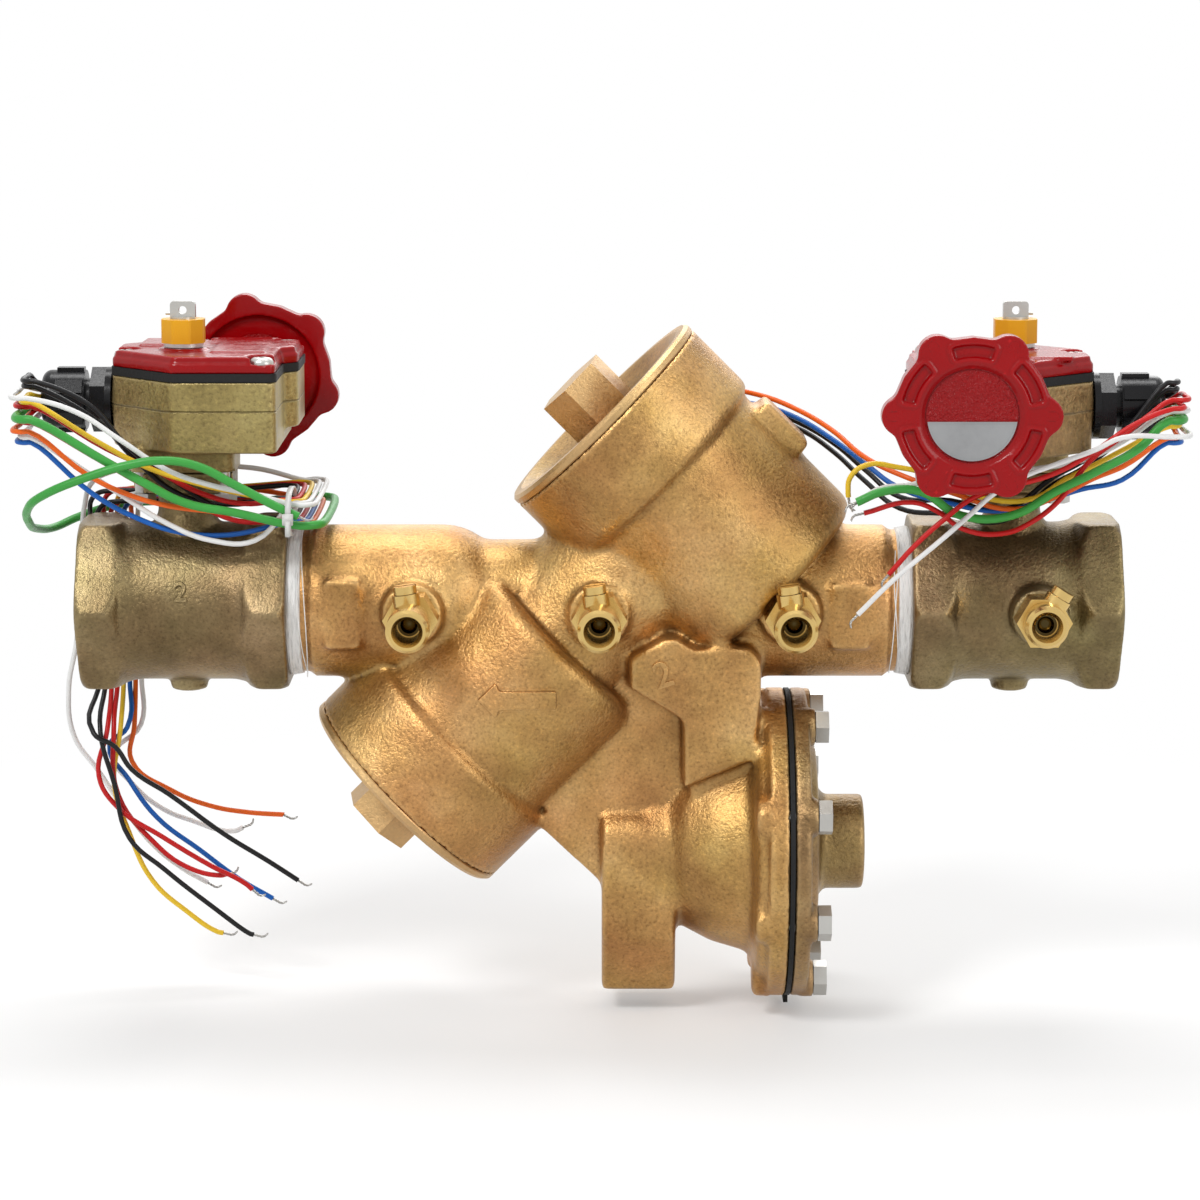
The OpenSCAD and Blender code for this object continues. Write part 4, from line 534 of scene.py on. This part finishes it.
def bare_end(name, tip, direction):
    """Twisted tinned strands with a small crook at the end."""
    side = direction.cross(Vector((0, 1, 0))).normalized()
    up = direction.cross(side)
    data = round_curve(name, STRAND_R * MM, 2, TINNED)
    for first in (0, 120, 240):
        points = []
        for k in range(13):
            t = k / 12
            a = math.radians(first + 500 * t)
            crook = 0.9 * max(0.0, t - 0.6) ** 2 * BARE
            points.append(tip + direction * (t * (BARE - 0.6) * MM)
                          + side * (TWIST_R * math.cos(a) + crook * 2) * MM
                          + up * TWIST_R * math.sin(a) * MM)
        add_straight(data, points)
    obj = linked(name, data)
    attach(obj, "body")
    return obj


for name, route in ROUTES.items():
    side, colour = name.split("_")[:2]
    diameter = (EARTH_D if colour == "green" else WIRE_D) * MM
    points = [place(*point) for point in route]
    back = (points[-2] - points[-1]).normalized()
    points[-1] = points[-1] + back * BARE * MM
    data = round_curve(name, diameter / 2, 4, WIRE_LOOKS[colour])
    data.resolution_u = 6
    add_smooth(data, points)
    wire = linked(name, data)
    node = f"{side}_wire{'s' if name[-1].isdigit() else ''}_{colour}"
    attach(wire, "body")
    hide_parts(node)
    end = bare_end(name + "_end", points[-1], -back)


SLOPE = math.sqrt(0.5)
# Each check chamber's axis in x and z, as a point and a direction, then seat and mouth along it.
CHAMBERS = (
    ((81.0, 0.0), (-SLOPE, SLOPE), 16.0, 115.0),
    ((0.0, 0.0), (-SLOPE, -SLOPE), 27.0, 118.8),
)
BAND = 38.5             # from a chamber's mouth back to the step where its band begins
BARREL_R = 47.8
CHAMBER_R = 58          # what lies within this of a chamber's axis belongs to it
BORE_R = 44             # a little more than a chamber's bore
SADDLE_R = 26.0
FLANGE_X = 70.5         # from here and out to FLANGE_R the relief valve's flange keeps its shape
FLANGE_R = 67
WATERWAY_R = 29.6       # a little more than a valve's threaded ports


def ramp_up(value, start, width):
    """0 below the start, 1 past the width, straight in between."""
    return np.clip((value - start) / width, 0.0, 1.0)


def off_chamber(chamber, x, z):
    """How far along a chamber's axis a point lies, and how far to its side."""
    (x0, z0), (ax, az), _, _ = chamber
    return (x - x0) * ax + (z - z0) * az, (x - x0) * az - (z - z0) * ax


def body_kept(x, y, z):
    """How much of the casting's exact shape stays: at its threads, bores and joint faces."""
    kept = ramp_up(np.abs(x), RUN_HALF - 2, 1.5)
    for chamber in CHAMBERS:
        _, _, seat, reach = chamber
        along, aside = off_chamber(chamber, x, z)
        out = np.hypot(aside, y)
        near = (out < CHAMBER_R) & (along > seat - 8)
        exact = near & ((along > reach - 7) | (out < BORE_R))
        kept = np.maximum(kept, np.where(exact, 1.0, 0.0))
        step = (np.abs(along - reach + BAND) < 3.5) & (np.abs(out - BARREL_R) < 3)
        kept = np.maximum(kept, np.where(step, 0.7, 0.0))
    flange = (x > FLANGE_X) & (y ** 2 + (z - RELIEF_Z) ** 2 < FLANGE_R ** 2) & (z < -38)
    return np.maximum(kept, np.where(flange, 1.0, 0.0))


def valve_kept(x, y, z):
    """A valve body keeps its waterway."""
    return np.where(y ** 2 + z ** 2 < WATERWAY_R ** 2, 1.0, 0.0)


def housing_kept(x, y, z):
    """A gear housing keeps its rim and its mounting face."""
    return np.maximum(ramp_up(z, 94.8, 0.5), np.where(z < 57.5, 1.0, 0.0))


def none_kept(x, y, z):
    """The whole piece is rounded."""
    return np.zeros_like(x)


def lofted(build, rings):
    """Adds a closed solid through rings of as many points each, listed from front to back."""
    rows = [[build.verts.new(place(*point)) for point in ring] for ring in rings]
    build.faces.new(rows[0])
    build.faces.new(list(reversed(rows[-1])))
    for front, back in zip(rows, rows[1:]):
        for k in range(len(front)):
            a = (k + 1) % len(front)
            build.faces.new((front[a], front[k], back[k], back[a]))


def add_webs(mesh):
    """Adds the web beside the strut and the saddle over the throat."""
    build = bmesh.new()
    build.from_mesh(mesh)
    web = [(6, -28), (13, -22), (32, -38), (28, -47), (6, -50)]
    lofted(build, [[(x, y, z) for x, z in web] for y in (-23, 23)])
    saddle = []
    for y in range(-24, 25, 4):
        top = math.sqrt(SADDLE_R ** 2 - y ** 2)
        saddle.append([(-50, y, top), (-34, y, 8), (-14, y, min(top, 20)), (-22, y, top)])
    lofted(build, saddle)
    build.to_mesh(mesh)
    build.free()


ARROW_Z = -34.2


def bare_barrel(points):
    """Takes the second chamber back to its barrel, where the flow arrow is set on it."""
    x, y, z = points[:, 0] / MM + HALF_LENGTH, points[:, 1] / MM, points[:, 2] / MM
    _, aside = off_chamber(CHAMBERS[1], x, z)
    there = (x > -54) & (x < -15) & (np.abs(z - ARROW_Z) < 10.5) & (y < -44)
    moved = points.copy()
    moved[there, 1] = -MM * np.sqrt(BARREL_R ** 2 - aside[there] ** 2)
    return moved


CENTRE_R = 18.8         # a wheel's sunk centre
RIM_STEP = 2.4          # from the centre up to the rim, and how wide the slope between them is
POCKET_R = 26.4         # the circle on which the pockets lie, and half their length and width
POCKET_LONG = 7.4
POCKET_WIDE = 1.8


def wheel_face(points, normals, side):
    """Lays out a wheel's front: a sunk centre, and a bordered pocket between every two lobes."""
    lobe = 0.0 if side > 0 else -18.0
    across = points[:, 0] / MM + HALF_LENGTH - side * WHEEL_X
    up = points[:, 2] / MM - WHEEL_Z
    axial = -side * points[:, 1] / MM
    r = np.hypot(across, up)
    swing = np.degrees(np.arctan2(up, across)) - lobe - 30.0
    swing = np.radians((swing + 30.0) % 60.0 - 30.0)
    level = WHEEL_OUT + RIM_STEP * ramp_up(r, CENTRE_R, RIM_STEP)
    a = np.abs(POCKET_R * swing) - POCKET_LONG
    b = np.abs(r - POCKET_R) - POCKET_WIDE
    gap = np.hypot(np.maximum(a, 0), np.maximum(b, 0)) + np.minimum(np.maximum(a, b), 0) - 1.0
    level += 0.7 * np.clip(1.3 - np.abs(gap - 0.7), 0, 1) - 1.2 * np.clip(0.2 - gap, 0, 1)
    facing = -side * normals[:, 1]
    top = (axial > 77.8) & ((r < 30.6) | (facing > 0.5))
    moved = points.copy()
    moved[top, 1] = -side * level[top] * MM
    return moved


def even_piece(name, mesh, voxel):
    """A piece whose mesh is laid out again in even faces, and its points as an array."""
    piece = linked(name, mesh)
    remesh = piece.modifiers.new("remesh", "REMESH")
    remesh.mode = "VOXEL"
    remesh.voxel_size = voxel * MM
    graph = bpy.context.evaluated_depsgraph_get()
    even = bpy.data.meshes.new_from_object(piece.evaluated_get(graph))
    piece.modifiers.clear()
    piece.data = even
    points = np.empty(len(even.vertices) * 3)
    even.vertices.foreach_get("co", points)
    return piece, points.reshape(-1, 3)


def smoothed(mesh, points, passes):
    """The points, each drawn towards the middle of its neighbours as often as passes says."""
    count = len(points)
    ends = np.empty(len(mesh.edges) * 2, dtype=np.int32)
    mesh.edges.foreach_get("vertices", ends)
    ends = ends.reshape(-1, 2)
    both = np.concatenate([ends[:, 0], ends[:, 1]])
    other = np.concatenate([ends[:, 1], ends[:, 0]])
    meets = np.maximum(np.bincount(both, minlength=count), 1)
    for _ in range(passes):
        sums = [np.bincount(both, points[other, k], count) for k in range(3)]
        points = 0.5 * points + 0.5 * np.stack([total / meets for total in sums], axis=1)
    return points


def set_points(piece, points, material):
    """Moves a piece's points, and gives it smooth faces and its material."""
    mesh = piece.data
    mesh.vertices.foreach_set("co", points.ravel())
    mesh.polygons.foreach_set("use_smooth", np.ones(len(mesh.polygons), dtype=bool))
    mesh.update()
    mesh.materials.clear()
    mesh.materials.append(material)


def recast(node, body, material, voxel, passes, kept=none_kept):
    """An evenly meshed copy of a node, its corners rounded like those of cast or painted metal."""
    mesh = nodes[node].data.copy()
    if node == "main_body":
        add_webs(mesh)
    piece, first = even_piece(node + "_cast", mesh, voxel)
    if "handwheel" in node:
        normals = np.empty(first.size)
        piece.data.vertices.foreach_get("normal", normals)
        first = wheel_face(first, normals.reshape(-1, 3), 1 if body == "inlet_wheel" else -1)
    if node == "main_body":
        first = bare_barrel(first)
    x, y, z = first[:, 0] / MM + HALF_LENGTH, first[:, 1] / MM, first[:, 2] / MM
    points = smoothed(piece.data, first, passes)
    share = kept(x, y, z)[:, None]
    set_points(piece, points * (1 - share) + first * share, material)
    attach(piece, body)
    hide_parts(node)
    return piece


CASTINGS = [
    ("main_body", "body", BODY, 1.5, 7, body_kept, "body_bronze"),
    ("relief_cover", "body", RELIEF, 1.2, 2, none_kept, "relief_bronze"),
    ("inlet_valve_body", "body", VALVE, 1.2, 4, valve_kept, "valve_bronze"),
    ("outlet_valve_body", "body", VALVE, 1.2, 4, valve_kept, "valve_bronze"),
    ("inlet_gear_housing", "body", GEAR, 1.0, 4, housing_kept, "gear_bronze"),
    ("outlet_gear_housing", "body", GEAR, 1.0, 4, housing_kept, "gear_bronze"),
    ("inlet_gear_cover", "body", RED, 0.7, 3, none_kept, "red_enamel"),
    ("outlet_gear_cover", "body", RED, 0.7, 3, none_kept, "red_enamel"),
    ("inlet_handwheel", "inlet_wheel", RED, 0.55, 2, none_kept, "red_enamel"),
    ("outlet_handwheel", "outlet_wheel", RED, 0.55, 2, none_kept, "red_enamel"),
]
for node, body, material, voxel, passes, kept, slot in CASTINGS:
    recast(node, body, material, voxel, passes, kept)


def half_plate(name, wheel, side):
    """Bare stamped half-moon plate, its edge rolled, in the lower half of a wheel's centre."""
    radius, top, thick, edge = 18.2, 2.3, 0.6, 0.7
    start = math.asin(top / radius)
    turns = [math.pi + start + (math.pi - 2 * start) * k / 40 for k in range(41)]
    outline = [(radius * math.cos(a), radius * math.sin(a)) for a in turns]
    within = radius - edge
    inner = [(within * math.cos(a), min(within * math.sin(a), -top - edge)) for a in turns]
    rows = [(outline, 0.0), (outline, thick), (inner, thick), (inner, thick - 0.18)]
    points = [place(side * WHEEL_X + x, -side * (WHEEL_OUT + depth), WHEEL_Z + z)
              for row, depth in rows for x, z in row]
    size = len(outline)
    faces = []
    for level in range(3):
        for k in range(size):
            a, b = level * size + k, level * size + (k + 1) % size
            faces.append((a, b, b + size, a + size))
    faces.append(tuple(3 * size + k for k in range(size)))
    faces.append(tuple(reversed(range(size))))
    mesh = bpy.data.meshes.new(name)
    mesh.from_pydata(points, [], faces)
    mesh.validate()
    mesh.materials.append(PLATE)
    obj = linked(name, mesh)
    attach(obj, wheel)


half_plate("inlet_wheel_plate", "inlet_wheel", 1)
half_plate("outlet_wheel_plate", "outlet_wheel", -1)


def turned_to_mesh(name, data):
    """The mesh that a curve or a text makes."""
    obj = linked(name, data)
    graph = bpy.context.evaluated_depsgraph_get()
    mesh = bpy.data.meshes.new_from_object(obj.evaluated_get(graph))
    bpy.data.objects.remove(obj)
    return mesh


def raised_figure(name, height, x, z, turn_by, front, material):
    """A plain cast figure 2 on the front, its face following the depth given by front(x, z)."""
    data = bpy.data.curves.new(name, "FONT")
    data.body = "2"
    data.size = height * 1.4 * MM
    data.extrude = 1.2 * MM
    data.bevel_depth = 0.25 * MM
    data.bevel_resolution = 2
    data.resolution_u = 6
    mesh = turned_to_mesh(name, data)
    corners = [v.co.copy() for v in mesh.vertices]
    mid_x = (min(c.x for c in corners) + max(c.x for c in corners)) / 2
    mid_y = (min(c.y for c in corners) + max(c.y for c in corners)) / 2
    s, c = math.sin(turn_by), math.cos(turn_by)
    for vertex in mesh.vertices:
        dx, dz, out = vertex.co.x - mid_x, vertex.co.y - mid_y, vertex.co.z / MM
        px, pz = x + (dx * c - dz * s) / MM, z + (dx * s + dz * c) / MM
        vertex.co = place(px, front(px, pz) - out + 0.35, pz)
    mesh.materials.clear()
    mesh.materials.append(material)
    figure = linked(name, mesh)
    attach(figure, "body")


raised_figure("outlet_valve_figure", 8, -174.7, 9, 0.0,
              lambda x, z: -math.sqrt(33.5 ** 2 - z ** 2), VALVE)
raised_figure("neck_block_figure", 11, 26.5, -25, 0.3, lambda x, z: -38.0, BODY)


# The arrow and its border are built between these depths, then laid on the barrel at their lifts.
ARROW_FRONT = -54
BORDER_FRONT = -50
ARROW_BACK = -43
ARROW_LIFT = 2.3
BORDER_LIFT = 0.25
BACK_LIFT = -2.0


def flow_arrow():
    """Flat cast arrow on the second chamber, its face following the barrel."""
    outline = [(-50.4, 0), (-43, 7.2), (-41.6, 3.7), (-18, 3.7), (-18, -3.7), (-41.6, -3.7),
               (-43, -7.2)]
    border = [(-52, 0), (-42.6, 9.4), (-40.6, 4.7), (-17, 4.7), (-17, -4.7), (-40.6, -4.7),
              (-42.6, -9.4)]
    mesh = bpy.data.meshes.new("flow_arrow")
    build = bmesh.new()
    for shape, front in ((outline, ARROW_FRONT), (border, BORDER_FRONT)):
        lofted(build, [[(x, y, z + ARROW_Z) for x, z in shape] for y in (front, ARROW_BACK)])
    build.to_mesh(mesh)
    build.free()
    piece, points = even_piece("flow_arrow", mesh, 0.6)
    _, aside = off_chamber(CHAMBERS[1], points[:, 0] / MM + HALF_LENGTH, points[:, 2] / MM)
    depth = points[:, 1] / MM
    lift = np.where(depth < BORDER_FRONT + 3, BORDER_LIFT, BACK_LIFT)
    lift = np.where(depth < ARROW_FRONT + 2, ARROW_LIFT, lift)
    points[:, 1] = -MM * (np.sqrt(BARREL_R ** 2 - aside ** 2) + lift)
    set_points(piece, smoothed(piece.data, points, 5), BODY)
    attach(piece, "body")


flow_arrow()


COIL_STEPS = 48         # corners in each turn of a spring


def coil(node, line, radius, wire, turns):
    """A smooth coil in a spring's place along the line."""
    corners = np.array([v.co for v in nodes[node].data.vertices]) / MM
    corners += np.array([HALF_LENGTH, 0, 0])
    (x0, z0), (ax, az) = line
    origin, axis = Vector((x0, 0, z0)), Vector((ax, 0, az))
    along = (corners - np.array(origin)) @ np.array(axis)
    low, high = along.min() + wire, along.max() - wire
    side = Vector((0, 1, 0))
    up = axis.cross(side)
    points = []
    steps = turns * COIL_STEPS
    for i in range(steps + 1):
        a = 2 * math.pi * i / COIL_STEPS
        spot = (origin + axis * (low + (high - low) * i / steps)
                + side * radius * math.cos(a) + up * radius * math.sin(a))
        points.append(place(*spot))
    data = round_curve(node + "_coils", wire * MM, 3, ZINC)
    add_straight(data, points)
    mesh = turned_to_mesh(node + "_curve", data)
    mesh.materials.clear()
    mesh.materials.append(ZINC)
    piece = linked(node + "_coils", mesh)
    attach(piece, "body")
    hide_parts(node)
    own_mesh(piece)


coil("check1_spring", CHAMBERS[0][:2], 21, 1.6, 6)
coil("check2_spring", CHAMBERS[1][:2], 21, 1.6, 6)
coil("relief_spring", ((0, RELIEF_Z), (1, 0)), 21.5, 1.5, 5)


def wire_tie():
    """Nylon tie round the bunched wires beside the outlet valve, with its lock and cut tail."""
    centre, across, up = (-128.0, -32.5, 43.0), 17.5, 9.0
    half, thick, stations = 1.2, 0.9, 48
    section = ((-half, 0), (half, 0), (half, thick), (-half, thick))
    rings = []
    for k in range(stations):
        a = 2 * math.pi * k / stations
        c, s = math.cos(a), math.sin(a)
        y = across * abs(c) ** 0.8 * (1 if c > 0 else -1)
        z = up * abs(s) ** 0.8 * (1 if s > 0 else -1)
        out = Vector((0, c * up, s * across)).normalized()
        for along, off in section:
            rings.append(place(centre[0] + along, centre[1] + y + out.y * off,
                               centre[2] + z + out.z * off))
    faces = []
    for k in range(stations):
        this, following = 4 * k, 4 * ((k + 1) % stations)
        for j in range(4):
            faces.append((this + j, this + (j + 1) % 4, following + (j + 1) % 4, following + j))
    mesh = bpy.data.meshes.new("wire_tie")
    mesh.from_pydata(rings, [], faces)
    build = bmesh.new()
    build.from_mesh(mesh)
    lock = ((0, -across - 1.6, -1), (4.4, 3.2, 4.6))
    tail = ((0.2, -across - 4.6, -4.5), (2.2, 1.0, 6.5))
    for (dx, dy, dz), size in (lock, tail):
        made = bmesh.ops.create_cube(build, size=1.0)["verts"]
        spot = place(centre[0] + dx, centre[1] + dy, centre[2] + dz)
        for v in made:
            v.co = spot + Vector([v.co[k] * size[k] * MM for k in range(3)])
    bmesh.ops.bevel(build, geom=build.edges[:], offset=0.25 * MM, segments=2, affect="EDGES")
    build.to_mesh(mesh)
    build.free()
    mesh.polygons.foreach_set("use_smooth", [True] * len(mesh.polygons))
    mesh.materials.append(CLEAR_TIE)
    obj = linked("wire_tie", mesh)
    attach(obj, "body")


wire_tie()


TAPE_STRAND_R = 0.22


def strand(name, side, turns):
    """A loose strand of tape round the thread, through (x, angle from the front, radius)."""
    data = round_curve(name, TAPE_STRAND_R * MM, 2, TAPE)
    points = []
    for x, angle, r in turns:
        a = math.radians(angle)
        points.append(place(side * x, -r * math.cos(a), r * math.sin(a)))
    add_smooth(data, points)
    obj = linked(name, data)
    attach(obj, "body")


strand("tape_strand_1", -1, [(125.5, 70, 31.6), (124.6, 40, 31.7), (123.4, 10, 31.9),
                             (122.6, -20, 32.2), (122.9, -50, 32.4), (123.8, -72, 32.8)])
strand("tape_strand_2", -1, [(126.5, 30, 31.9), (125.9, 0, 32.1), (124.6, -30, 32.3),
                             (123.2, -60, 32.6)])
strand("tape_strand_3", 1, [(126.0, 60, 31.9), (124.8, 30, 32.0), (123.6, 0, 32.1),
                            (122.8, -30, 32.2), (122.4, -62, 32.4)])
strand("tape_strand_4", 1, [(124.2, 50, 31.8), (123.2, 20, 32.0), (124.4, -10, 32.1),
                            (125.6, -42, 32.3)])


FLOOR_Z = -0.1765       # metres, 1.5 mm under the part's lowest point


def any_of(tree, *names):
    """1 where a ray is of one of the named kinds."""
    path = tree.nodes.new("ShaderNodeLightPath")
    found = path.outputs[names[0]]
    for name in names[1:]:
        node = tree.nodes.new("ShaderNodeMath")
        node.operation = "MAXIMUM"
        tree.links.new(found, node.inputs[0])
        tree.links.new(path.outputs[name], node.inputs[1])
        found = node.outputs[0]
    return found


SEEING = ("Is Camera Ray", "Is Glossy Ray", "Is Transmission Ray")
AMBIENT = 0.40          # strength of the white surroundings as light; where seen it is 1

world = bpy.data.worlds.new("studio")
world.use_nodes = True
scene.world = world
tree = world.node_tree
background = tree.nodes["Background"]
background.inputs["Color"].default_value = (1, 1, 1, 1)
level = tree.nodes.new("ShaderNodeMapRange")
level.inputs["To Min"].default_value = AMBIENT
level.inputs["To Max"].default_value = 1.0
tree.links.new(any_of(tree, *SEEING), level.inputs["Value"])
tree.links.new(level.outputs["Result"], background.inputs["Strength"])

SPAN = 6.0
floor_mesh = bpy.data.meshes.new("floor")
corners = [(a * SPAN, b * SPAN, FLOOR_Z) for a, b in ((-1, -1), (1, -1), (1, 1), (-1, 1))]
floor_mesh.from_pydata(corners, [], [(0, 1, 2, 3)])
floor = linked("floor", floor_mesh)
n = Nodes("floor")
n.finish(Base_Color=n.mix(n.noise(3), (0.86, 0.86, 0.86, 1), (0.9, 0.9, 0.9, 1)), Roughness=0.95,
         Specular_IOR_Level=0.1)
tree = n.tree
lift = n.spread(n.length(n.off(0, 0, FLOOR_Z / MM)), 0.3, 1.0, 0.26, 0.6)
seen = n.math("MULTIPLY", lift, any_of(tree, *SEEING))
glow = n.add("ShaderNodeEmission")
glow.inputs["Strength"].default_value = 1.0
blend = n.add("ShaderNodeMixShader")
tree.links.new(seen, blend.inputs[0])
tree.links.new(n.shader.outputs[0], blend.inputs[1])
tree.links.new(glow.outputs[0], blend.inputs[2])
tree.links.new(blend.outputs[0], tree.nodes["Material Output"].inputs["Surface"])
floor_mesh.materials.append(n.material)


def lamp(name, spot, aim, size, power):
    """A rectangular lamp at the spot, turned to what it is aimed at."""
    data = bpy.data.lights.new(name, "AREA")
    data.shape = "RECTANGLE"
    data.size, data.size_y = size
    data.energy = power
    obj = linked(name, data)
    obj.location = spot
    obj.rotation_euler = (Vector(aim) - Vector(spot)).to_track_quat("-Z", "Y").to_euler()


MIDDLE = place(0, 0, 0)
lamp("key", MIDDLE + Vector((-0.9, -1.3, 1.5)), MIDDLE, (0.6, 0.6), 24)
lamp("fill", MIDDLE + Vector((1.4, -1.1, 0.7)), MIDDLE, (0.8, 1.0), 9)
lamp("top", MIDDLE + Vector((0.0, 0.5, 1.6)), MIDDLE, (1.2, 0.5), 14)
lamp("back", MIDDLE + Vector((0.2, 1.6, 0.9)), MIDDLE, (1.2, 0.8), 8)

scene.view_settings.view_transform = "Standard"
